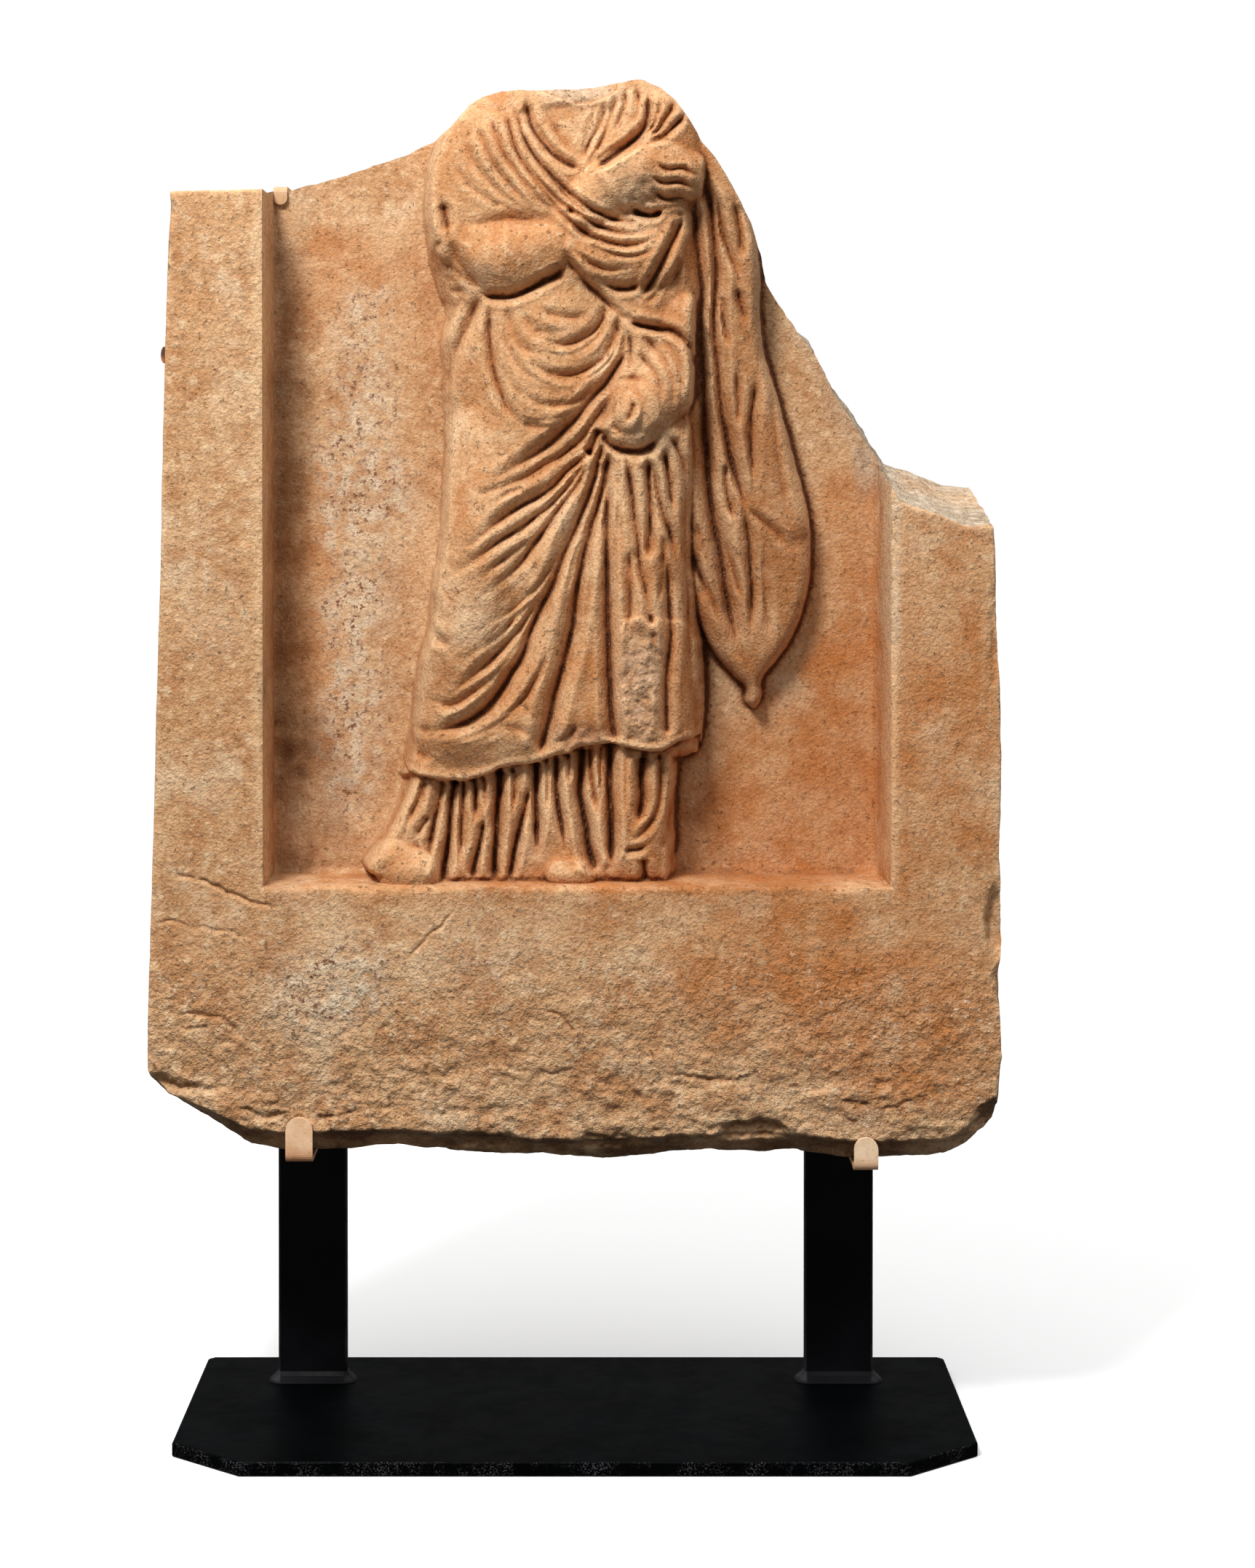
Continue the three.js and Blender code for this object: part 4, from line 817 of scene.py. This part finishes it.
def slab_prism():
    """The slab's broken sides and rough back, as a closed solid that runs out in front of the relief."""
    piece_length = 3.0
    prism_front = front_y - 15
    inset = 0.2
    depths = [prism_front, front_y] + list(np.linspace(front_y + 4, back_y, 20))

    # Points spread evenly around the outline, each with the guide point before it and its share from there
    reference = outline_at(front_y)
    lengths = np.hypot(*(np.roll(reference, -1, axis=0) - reference).T)
    counts = np.maximum(1, np.round(lengths / piece_length).astype(int))
    where = np.concatenate([i + np.arange(n) / n for i, n in enumerate(counts)])
    knot = where.astype(int)
    share = where - knot
    after = (knot + 1) % len(reference)
    share_xz = share[:, None]
    along = np.arange(len(where)) * piece_length

    # The side is smooth where the side clip lies on it.
    knot_x, knot_z = reference[knot].T
    rough = roughness_at_points[knot] * (1 - share) + roughness_at_points[after] * share
    rough = rough * np.clip(ease(6, 14, np.abs(knot_z - side_clip_z)) + (knot_x > -270), 0, 1)
    rings = []
    for y in depths:
        guide = outline_at(max(y, front_y))
        ring = guide[knot] * (1 - share_xz) + guide[after] * share_xz
        way = np.roll(ring, -1, axis=0) - np.roll(ring, 1, axis=0)
        inward = np.stack([-way[:, 1], way[:, 0]], 1) / np.maximum(np.hypot(*way.T), 1e-6)[:, None]
        into = np.full(len(along), float(max(y, front_y)))
        dent = rough * (0.55 + 1.1 * swells(along, into, 26, 41, 5))
        dent = np.where(y < front_y + 1, np.maximum(dent, 0) * 0.6, dent)
        x, z = (ring + inward * dent[:, None]).T
        x = np.clip(x, stone_low[0] + inset, stone_high[0] - inset)
        z = np.clip(z, stone_low[2] + inset, stone_high[2] - inset)
        rings.append(np.stack([x, np.full(len(x), float(y)), z], 1))

    # The back, as rings that shrink to its middle
    middle = np.array([0.0, 0.0, middle_z])
    edge = rings[-1]
    for scale in (0.985, 0.96, 0.92, 0.87, 0.8, 0.72, 0.63, 0.53, 0.42, 0.3, 0.17, 0.06):
        ring = middle + (edge - middle) * scale
        hollow = 1.1 + 1.3 * swells(ring[:, 0], ring[:, 2], 70, 42, 4)
        ring[:, 1] = back_y - np.clip(hollow, 0, 3)
        rings.append(ring)
    count = len(along)
    points = np.vstack(rings + [[[0, prism_front, middle_z], [0, back_y - 1, middle_z]]])
    ring_numbers = [np.arange(count) + r * count for r in range(len(rings))]
    triangles = [band(a, b) for a, b in zip(ring_numbers[:-1], ring_numbers[1:])]
    first = ring_numbers[0]
    last = ring_numbers[-1]
    front_middle = np.full(count, len(points) - 2)
    back_middle = np.full(count, len(points) - 1)
    triangles.append(np.stack([front_middle, first, np.roll(first, -1)], 1))
    triangles.append(np.stack([back_middle, np.roll(last, -1), last], 1))
    return mesh_of("slab_prism", points, np.vstack(triangles))


def made_plain(piece, name):
    """The piece with its modifiers worked in, as a new object in place of the old one."""
    view = bpy.context.evaluated_depsgraph_get()
    result = placed(name, bpy.data.meshes.new_from_object(piece.evaluated_get(view)))
    discard(piece)
    return result


def carved_stone():
    """The relief cut to the slab's outline, with fewer faces and its sharp edges marked."""
    block = relief_block()
    prism = slab_prism()
    cut = block.modifiers.new("outline", "BOOLEAN")
    cut.operation = "INTERSECT"
    cut.solver = "MANIFOLD"
    cut.object = prism
    whole = made_plain(block, "whole_stone")
    discard(prism)
    thinned = whole.modifiers.new("fewer_faces", "DECIMATE")
    thinned.ratio = min(1, most_triangles / len(whole.data.polygons))
    stone = made_plain(whole, "carved_stone")
    mesh = stone.data
    mesh.polygons.foreach_set("use_smooth", np.ones(len(mesh.polygons), bool))
    mesh.set_sharp_from_angle(angle=math.radians(52))
    return stone


# Ragged patches of each mark on the stone: strength, middle, half width, half height and seed
WORN_PATCHES = [
    (0.4, 42, 866, 18, 20, 52), (0.4, 45, 530, 17, 44, 53), (0.245, 6, 490, 24, 8, 54),
    (0.5, 205, 672, 12, 26, 56)]
LIME_ON_WALL = [(1, -150, 690, 34, 110, 61), (1, -160, 510, 30, 90, 62)]
LIME_ON_FACE = [(1, -168, 318, 44, 36, 63), (0.25, -248, 580, 24, 50, 64), (0.3, -70, 345, 60, 30, 65)]
STAINS = [
    (1, 190, 480, 60, 110, 71), (1, 120, 460, 50, 70, 72), (0.7, 150, 330, 130, 70, 73),
    (0.5, 190, 620, 60, 60, 74), (0.35, -110, 800, 60, 50, 75), (0.6, -172, 820, 34, 40, 76),
    (0.6, -186, 560, 26, 130, 77), (0.75, 256, 500, 50, 170, 78), (0.8, 220, 300, 90, 80, 79)]
# Painted shadow on the wall right of the figure's skirt, and dirt low on the wall at the left
GRIME_AND_SHADOW_ON_WALL = [(0.2, 100, 450, 22, 60, 81), (0.5, -184, 452, 34, 66, 83)]
# A painted shadow down the wall beside the left jamb
SHADOW_AT_JAMB = [(0.5, -200, 620, 16, 300, 82)]


def patch(x, z, cx, cz, half_x, half_z, seed):
    """1 in the middle of a patch with a ragged border, and 0 outside."""
    reach = np.hypot((x - cx) / half_x, (z - cz) / half_z)
    return ease(1.25, 0.35, reach + 0.5 * swells(x, z, 40, seed, 4))


def patches(x, z, rows):
    """The sum of several patches, each at its strength."""
    return sum(strength * patch(x, z, *row) for strength, *row in rows)


def hollows_and_crests(x, z):
    """How far each point lies below the carving around it, and how far above, both near and wide."""
    height = -front
    wide = softened(height, 5.0) - height
    close = softened(height, 2.2) - height
    # hollow feeds dirt with painted shade, and crest feeds rubbed wear with a painted highlight
    hollow = np.clip(wide / 7, 0, 1) * 0.6 + np.clip(close / 2.6, 0, 1) * 0.7
    crest_wear_and_highlight = np.clip(-wide / 6, 0, 1) * 0.6 + np.clip(-close / 2.2, 0, 1) * 0.6
    return picked(hollow, x, z), picked(crest_wear_and_highlight, x, z)


def places_with_less_dirt_and_shade(x, y):
    """Where less dirt and painted shade go: left of the figure, and at the niche's right side and beyond.
    """
    left_of_figure = ease(-84, -92, x) * np.maximum(ease(-40, -25, y), ease(-112, -120, x))
    right_side = ease(niche_right - 7, niche_right - 4, x) * ease(niche_right + 5, niche_right + 2, x)
    return np.maximum(np.maximum(0.85 * left_of_figure, 0.7 * ease(196, 206, x)), right_side)


def broken_places(x, y, z, on_front):
    """The pale sides and back of the stone, most of all along its breaks, and places worn through."""
    break_line = np.array(jamb_break + wall_break + crown, float)
    near_break = ease(18, 5, nearest(break_line, x, z)[0])
    sides = (1 - on_front) * (0.22 + 0.3 * ease(20, 45, y) + 0.55 * near_break)
    rim_of_break = ease(-8, 4, 2 - inside(outline_at(front_y), x, z)) * (z > 630) * (x > 150)
    neck = patch(x, z, 3, 937, 30, 9, 51) * (z > 925)
    jamb_edge = ease(6, 1.5, np.abs(x - niche_right - 2)) * ease(530, 560, z) * ease(662, 645, z)
    jamb_edge = jamb_edge * (0.55 + 0.5 * swells(x, z, 9, 57, 3))
    worn = patches(x, z, WORN_PATCHES) + jamb_edge
    return sides + 0.3 * rim_of_break + 0.6 * neck + worn * on_front


def mark_stone(stone):
    """Notes on every point how dirty, coarse, rubbed, broken, limed, stained and grimy the stone is."""
    # Painted light: shade with the dirt in hollows, shade and shadow with the grime, a highlight on rubbed
    # crests.
    mesh = stone.data
    flat = np.zeros(len(mesh.vertices) * 3, np.float32)
    mesh.vertices.foreach_get("co", flat)
    x, y, z = flat.reshape(-1, 3).T / MM
    mesh.vertices.foreach_get("normal", flat)
    upward = flat.reshape(-1, 3)[:, 2]
    on_front = ease(4.0, 1.5, np.abs(y - picked(front, x, z)))
    hollow, crest_wear_and_highlight = hollows_and_crests(x, z)

    # The cloth of the figure, the niche's ledge with its front edge, and the wall just above it
    cloth = ease(-8, -14, y) * (np.abs(x) < 175) * (z > 384)
    ledge = ease(13, 7, np.abs(z - ledge_z + 4)) * (x > niche_left) * (x < niche_right) * on_front
    ledge = ledge * np.maximum(ease(-54, -60, y), ease(3, 1, np.abs(z - ledge_z)))
    foot_of_wall = ease(16, 8, np.abs(z - ledge_z - 5)) * ease(-30, -15, y)

    lime = patches(x, z, LIME_ON_WALL) * ease(-30, -8, y) + patches(x, z, LIME_ON_FACE)
    low_cloth = 0.35 * ease(720, 560, z) * ease(-30, 35, x) + 0.2 * ease(620, 500, z)
    # Orange stain on the cloth, stronger low down, and heavier to the right where it is painted shade
    cloth_stain_and_shade = cloth * (0.36 + 0.62 * ease(30, 95, x) + low_cloth)
    stain = np.clip(patches(x, z, STAINS), 0, 1) * on_front
    # Painted shade, darker on the figure's right leg and its hanging mantle
    cloth_shade = cloth * (0.16 * ease(38, 58, x) + 0.14 * ease(84, 96, x))
    # Painted shade on the downward-facing underside of the slab's foot
    shade_under_slab = ease(275, 250, z) * ease(-0.1, -0.6, upward)
    # Painted shadow beside the figure and the left jamb, and dirt low on the left wall
    grime_and_shade = patches(x, z, GRIME_AND_SHADOW_ON_WALL) * ease(-8, 0, y) + patches(x, z, SHADOW_AT_JAMB)
    # Less dirt and painted shade in the hollows at the clean places, along the ledge and at the wall's
    # foot
    kept_dirt_and_shade = (1 - places_with_less_dirt_and_shade(x, y)) * (1 - 0.55 * np.maximum(ledge, foot_of_wall))
    low_front = (0.3 + 0.7 * ease(380, 300, z)) * ease(8, 4, np.abs(y - front_y))
    marks = {
        "hollow": hollow * on_front * kept_dirt_and_shade,
        "coarse": np.maximum(low_front, 0.9 * (1 - on_front)),
        # Rubbed crests, lightened as a painted highlight, except on the ledge
        "crest_wear_and_highlight": crest_wear_and_highlight * on_front * (1 - ledge),
        "fracture": broken_places(x, y, z, on_front),
        "lime": np.clip(lime, 0, 1) * on_front,
        "stain": np.maximum(np.maximum(stain, cloth_stain_and_shade), 0.4 * ledge),
        "grime_and_shade": grime_and_shade + cloth_shade + shade_under_slab,
    }
    for name, values in marks.items():
        layer = mesh.attributes.new(name, "FLOAT", "POINT")
        layer.data.foreach_set("value", np.clip(values, 0, 1).astype(np.float32))


# Materials

class Value:
    """A socket in a finish. Sums and products of it add Math nodes."""

    def __init__(self, finish, socket):
        self.finish = finish
        self.socket = socket

    def math(self, operation, *values):
        return self.finish.node("ShaderNodeMath", {"operation": operation}, dict(enumerate(values)))

    def __add__(self, other):
        return self.math("ADD", self, other)

    def __sub__(self, other):
        return self.math("SUBTRACT", self, other)

    def __rsub__(self, other):
        return self.math("SUBTRACT", other, self)

    def __mul__(self, other):
        return self.math("MULTIPLY", self, other)

    __radd__ = __add__
    __rmul__ = __mul__


def paint(red, green, blue):
    """A colour given as it looks on a screen, from 0 to 255."""
    return tuple((c / 255) ** 2.2 for c in (red, green, blue)) + (1.0,)


class Finish:
    """A procedural material, built node by node."""

    def __init__(self, name):
        self.material = bpy.data.materials.new(name)
        self.material.use_nodes = True
        self.tree = self.material.node_tree
        self.tree.nodes.clear()
        self.place = self.node("ShaderNodeTexCoord", output="Object")

    def node(self, kind, settings=None, inputs=None, output=0):
        """Adds a node with its settings, then the value or link of each socket, and gives an output."""
        made = self.tree.nodes.new(kind)
        for key, value in (settings or {}).items():
            setattr(made, key, value)
        for key, value in (inputs or {}).items():
            if isinstance(value, Value):
                self.tree.links.new(value.socket, made.inputs[key])
            else:
                made.inputs[key].default_value = value
        return Value(self, made.outputs[output]) if made.outputs else None

    def along(self, axis):
        """The place along an axis, in metres."""
        return self.node("ShaderNodeSeparateXYZ", inputs={0: self.place}, output=axis)

    def noise(self, size, detail, rough):
        """Cloudy noise whose largest clouds are this many millimetres across."""
        inputs = {"Vector": self.place, "Scale": 1 / (size * MM), "Detail": detail, "Roughness": rough}
        return self.node("ShaderNodeTexNoise", inputs=inputs)

    def cells(self, size):
        """The distance from the middles of cells this many millimetres across."""
        inputs = {"Vector": self.place, "Scale": 1 / (size * MM)}
        return self.node("ShaderNodeTexVoronoi", inputs=inputs, output="Distance")

    def between(self, value, low, high):
        """0 at low and 1 at high, smoothly."""
        settings = {"interpolation_type": "SMOOTHSTEP"}
        return self.node("ShaderNodeMapRange", settings, {0: value, 1: low, 2: high})

    def mark(self, name):
        """One of the marks that the stone's points carry."""
        return self.node("ShaderNodeAttribute", {"attribute_name": name}, output="Fac")

    def blend(self, share, first, second):
        """A share of the second colour over the first."""
        inputs = {0: share, 6: first, 7: second}
        return self.node("ShaderNodeMix", {"data_type": "RGBA"}, inputs, output=2)

    def bump(self, height, depth, strength=1.0):
        """The surface's lean where a height of 1 stands this many millimetres up."""
        inputs = {"Height": height, "Distance": depth * MM, "Strength": strength}
        return self.node("ShaderNodeBump", inputs=inputs)

    def close(self, **sockets):
        """Ends the material in one surface with these values and links, and gives it."""
        inputs = {name.replace("_", " "): value for name, value in sockets.items()}
        surface = self.node("ShaderNodeBsdfPrincipled", inputs=inputs)
        self.node("ShaderNodeOutputMaterial", inputs={"Surface": surface})
        return self.material


def weathered_marble():
    """Tan marble, warm clouds, lime, pale breaks, dark pits, and brown dirt and painted shade in its
    hollows.
    """
    f = Finish("weathered_marble")
    wide = f.noise(150, 3, 0.5)
    cloud = f.noise(38, 4, 0.6)
    mottle = f.noise(8, 5, 0.65)
    grain = f.noise(2.4, 3, 0.7)
    fine = f.noise(1.2, 2, 0.7)
    crystals = f.cells(2.4)

    lime_cloud = f.between(f.noise(10, 7, 0.75), 0.44, 0.56)
    speck = f.between(f.noise(5.0, 4, 0.75), 0.51, 0.58) * f.between(f.noise(34, 3, 0.6), 0.34, 0.54)
    chalk = f.between(f.noise(3.0, 4, 0.75), 0.56, 0.66) * f.between(f.noise(30, 4, 0.65), 0.42, 0.6)
    broken_cloud = f.between(f.noise(9, 5, 0.7), 0.35, 0.65)
    # Dirt and painted shade in the hollows
    dirt_and_shade = f.mark("hollow") * (0.8 + 0.5 * f.between(mottle, 0.3, 0.7))
    pits = f.between(f.noise(5, 4, 0.75), 0.6, 0.68)
    base = f.blend(f.between(wide, 0.35, 0.65), paint(216, 173, 130), paint(204, 155, 110))
    coats = [
        # Clouds of brown and cream
        (f.between(cloud, 0.42, 0.66) * 0.75, paint(180, 124, 80)),
        (f.between(f.noise(60, 5, 0.65), 0.52, 0.7) * 0.5, paint(230, 204, 168)),
        (f.between(mottle, 0.5, 0.7) * 0.6, paint(240, 208, 166)),
        (f.between(mottle, 0.48, 0.3) * 0.5, paint(168, 114, 70)),
        # Orange stains, lime with brown specks in it, and chalk on coarse places
        # The stain mark grows towards the figure's right side, where it is painted shade
        (f.mark("stain") * (0.35 + f.between(cloud, 0.3, 0.7) * 0.55), paint(188, 115, 60)),
        (f.mark("lime") * (0.1 + 0.75 * lime_cloud), paint(226, 206, 176)),
        (f.mark("lime") * speck * 0.85, paint(140, 80, 44)),
        (chalk * f.mark("coarse") * 0.75, paint(236, 218, 192)),
        # Breaks, and rubbed crests lightened by a painted highlight
        (f.mark("fracture") * 0.85, f.blend(broken_cloud, paint(144, 130, 110), paint(208, 194, 172))),
        (f.mark("crest_wear_and_highlight") * 0.45, paint(250, 208, 160)),
        # Dirt and painted shade in the hollows, grime with painted shade and shadow, and dark pits
        (f.between(dirt_and_shade, 0.05, 0.6) * 0.45, paint(176, 102, 50)),
        (f.between(dirt_and_shade, 0.34, 1.05) * 0.9, paint(80, 36, 14)),
        (f.mark("grime_and_shade") * (0.4 + 0.5 * f.between(cloud, 0.35, 0.65)), paint(84, 56, 36)),
        (pits * (0.22 + 0.5 * f.mark("coarse")), paint(108, 64, 36)),
        # Crystals and fine pale grain
        (f.between(crystals, 0.45, 0.8) * 0.25, paint(124, 78, 42)),
        (f.between(fine, 0.6, 0.72) * 0.35, paint(252, 234, 204)),
    ]
    for share, tone in coats:
        base = f.blend(share, base, tone)

    bumps = grain * 0.8 + fine * 0.2 - crystals * 0.35 + mottle * 0.9 - pits
    lumps = (f.noise(10, 4, 0.65) * 4.4 + f.noise(4.5, 3, 0.65) * 2.5) * f.mark("coarse")
    broken_lumps = f.noise(7, 5, 0.7) * f.mark("fracture") * 2.0
    normal = f.bump(bumps + lumps + broken_lumps, 1.0)
    return f.close(Base_Color=base, Roughness=0.88, Normal=normal, Specular_IOR_Level=0.2)


def black_enamel(name, tone, gloss):
    """Satin black paint, with fine pale specks where the base's front edge is rubbed, and a painted
    highlight in pale lines down the edges of the uprights."""
    f = Finish(name)
    base_front = -0.0830
    base_top = 0.0100
    upright_middle = 0.192
    upright_half_width = 0.0242
    x = f.along("X")
    y = f.along("Y")
    z = f.along("Z")
    cloud = f.noise(60, 3, 0.5)
    base = f.blend(f.between(cloud, 0.35, 0.7), paint(*tone), paint(*[1.35 * c for c in tone]))
    speckle = f.between(f.noise(1.3, 2, 0.6), 0.52, 0.64) * f.between(f.noise(16, 3, 0.6), 0.38, 0.62)
    front_edge = f.between(y, base_front + 0.003, base_front) * f.between(z, base_top, base_top - 0.0006)
    base = f.blend(front_edge * speckle * 0.7, base, paint(84, 84, 86))
    # A painted highlight: pale lines down the uprights' side edges, broken up in patches
    from_middle = x.math("ABSOLUTE", x.math("ABSOLUTE", x) - upright_middle)
    edge_highlight = f.between(from_middle, upright_half_width - 0.0012, upright_half_width)
    edge_highlight = edge_highlight * f.between(z, base_top + 0.0005, base_top + 0.0025)
    worn = f.between(f.noise(30, 3, 0.6), 0.3, 0.6)
    base = f.blend(edge_highlight * worn * 0.5, base, paint(70, 70, 72))
    sheen = 0.42 + 0.12 * f.between(f.noise(24, 4, 0.6), 0.35, 0.7)
    normal = f.bump(f.noise(1.6, 2, 0.5) * 0.5 + f.noise(14, 2, 0.5), 0.12, 0.5)
    return f.close(Base_Color=base, Roughness=sheen, Normal=normal, Specular_IOR_Level=gloss)


def toned_paint(name, first, second, low, high_z, low_z):
    """Paint toned to the stone, which takes on its low tone from one height down to another."""
    f = Finish(name)
    cloud = f.noise(9, 4, 0.6)
    base = f.blend(f.between(cloud, 0.35, 0.7), paint(*first), paint(*second))
    base = f.blend(f.between(f.along("Z"), high_z, low_z) * 0.8, base, paint(*low))
    base = f.blend(f.between(f.noise(2.6, 3, 0.7), 0.58, 0.68) * 0.3, base, paint(130, 84, 50))
    normal = f.bump(f.noise(1.8, 3, 0.6) + cloud, 0.15)
    return f.close(Base_Color=base, Roughness=0.55, Normal=normal)


# The paint of each hook and clip: the two tones of its clouds, its low tone, and the heights from and
# down to which that comes in
HOOK_PAINTS = {
    "lower_left_hook": ((246, 204, 164), (234, 186, 142), (176, 108, 60), 0.216, 0.199),
    "lower_right_hook": ((248, 216, 180), (236, 198, 158), (196, 140, 92), 0.206, 0.193),
    "top_clip": ((206, 166, 124), (190, 146, 104), (150, 100, 62), 0.868, 0.858),
    "side_clip": ((44, 30, 22), (92, 58, 36), (190, 110, 60), 0.755, 0.749),
}


def finish_nodes(names, material):
    for name in names:
        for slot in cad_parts[name].material_slots:
            slot.material = material


def build_stone():
    stone = carved_stone()
    mark_stone(stone)
    stone.data.materials.clear()
    stone.data.materials.append(weathered_marble())
    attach(stone, "root")
    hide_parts("stele")


def build_stand():
    finish_nodes(["base_plate"], black_enamel("base_enamel", (9, 10, 11), 0.02))
    finish_nodes(["left_upright", "right_upright"], black_enamel("upright_enamel", (20, 20, 22), 0.06))
    for name, paints in HOOK_PAINTS.items():
        finish_nodes([name], toned_paint(name + "_paint", *paints))


def build_floor():
    """A wide pale floor just under the base, which throws no light back on the object."""
    half = 30000.0
    below_base = 0.05
    corners = np.array([[-half, -half, 0], [half, -half, 0], [half, half, 0], [-half, half, 0]])
    floor = mesh_of("pale_floor", corners - [0, 0, below_base], np.array([[0, 1, 2], [0, 2, 3]]))
    f = Finish("pale_floor")
    floor.data.materials.append(f.close(Base_Color=(0.93, 0.93, 0.93, 1), Roughness=0.9))
    floor.visible_diffuse = False
    floor.visible_glossy = False


def add_lamp(lamp, azimuth, elevation):
    """Aims a lamp at the figure from this side. Azimuth 0 is in front, and positive is to the right."""
    figure = Vector((0, front_y * MM, 0.62))
    distance = 2.0
    a, e = math.radians(azimuth), math.radians(elevation)
    source = Vector((math.sin(a) * math.cos(e), -math.cos(a) * math.cos(e), math.sin(e)))
    holder = placed(lamp.name, lamp)
    holder.location = figure + source * distance
    holder.rotation_euler = source.to_track_quat("Z", "Y").to_euler()


def light_studio():
    """A key light from the upper left, a soft light from above, and a world that looks white but lights
    the object only a little."""
    key = bpy.data.lights.new("key_light", "AREA")
    key.shape = "DISK"
    key.size = 0.5
    key.energy = 43
    add_lamp(key, -26, 46)
    overhead = bpy.data.lights.new("overhead_light", "SUN")
    overhead.energy = 2.85
    overhead.angle = math.radians(90)
    add_lamp(overhead, 0, 90)
    world = bpy.data.worlds.new("studio")
    bpy.context.scene.world = world
    world.use_nodes = True
    tree = world.node_tree
    background = tree.nodes["Background"]
    background.inputs["Color"].default_value = (1, 1, 1, 1)
    rays = tree.nodes.new("ShaderNodeLightPath")
    level = tree.nodes.new("ShaderNodeMapRange")
    level.inputs["To Min"].default_value = 0.22
    level.inputs["To Max"].default_value = 1.0
    tree.links.new(rays.outputs["Is Camera Ray"], level.inputs["Value"])
    tree.links.new(level.outputs[0], background.inputs["Strength"])


def place_camera():
    """A near level view of the front, with the lens shifted down to take in the base."""
    camera = bpy.data.cameras.new("camera")
    camera.sensor_width = 36
    camera.lens = 69.84
    camera.shift_x = 0.0249
    camera.shift_y = -0.17
    camera.clip_end = 200
    downward_tilt = 0.701
    holder = placed("camera", camera)
    holder.location = (0.0093, -2.1537, 0.6681)
    holder.rotation_euler = (math.radians(90 - downward_tilt), 0, 0)
    bpy.context.scene.camera = holder
    bpy.context.scene.view_settings.view_transform = "Standard"


build_stone()
build_stand()
build_floor()
light_studio()
place_camera()
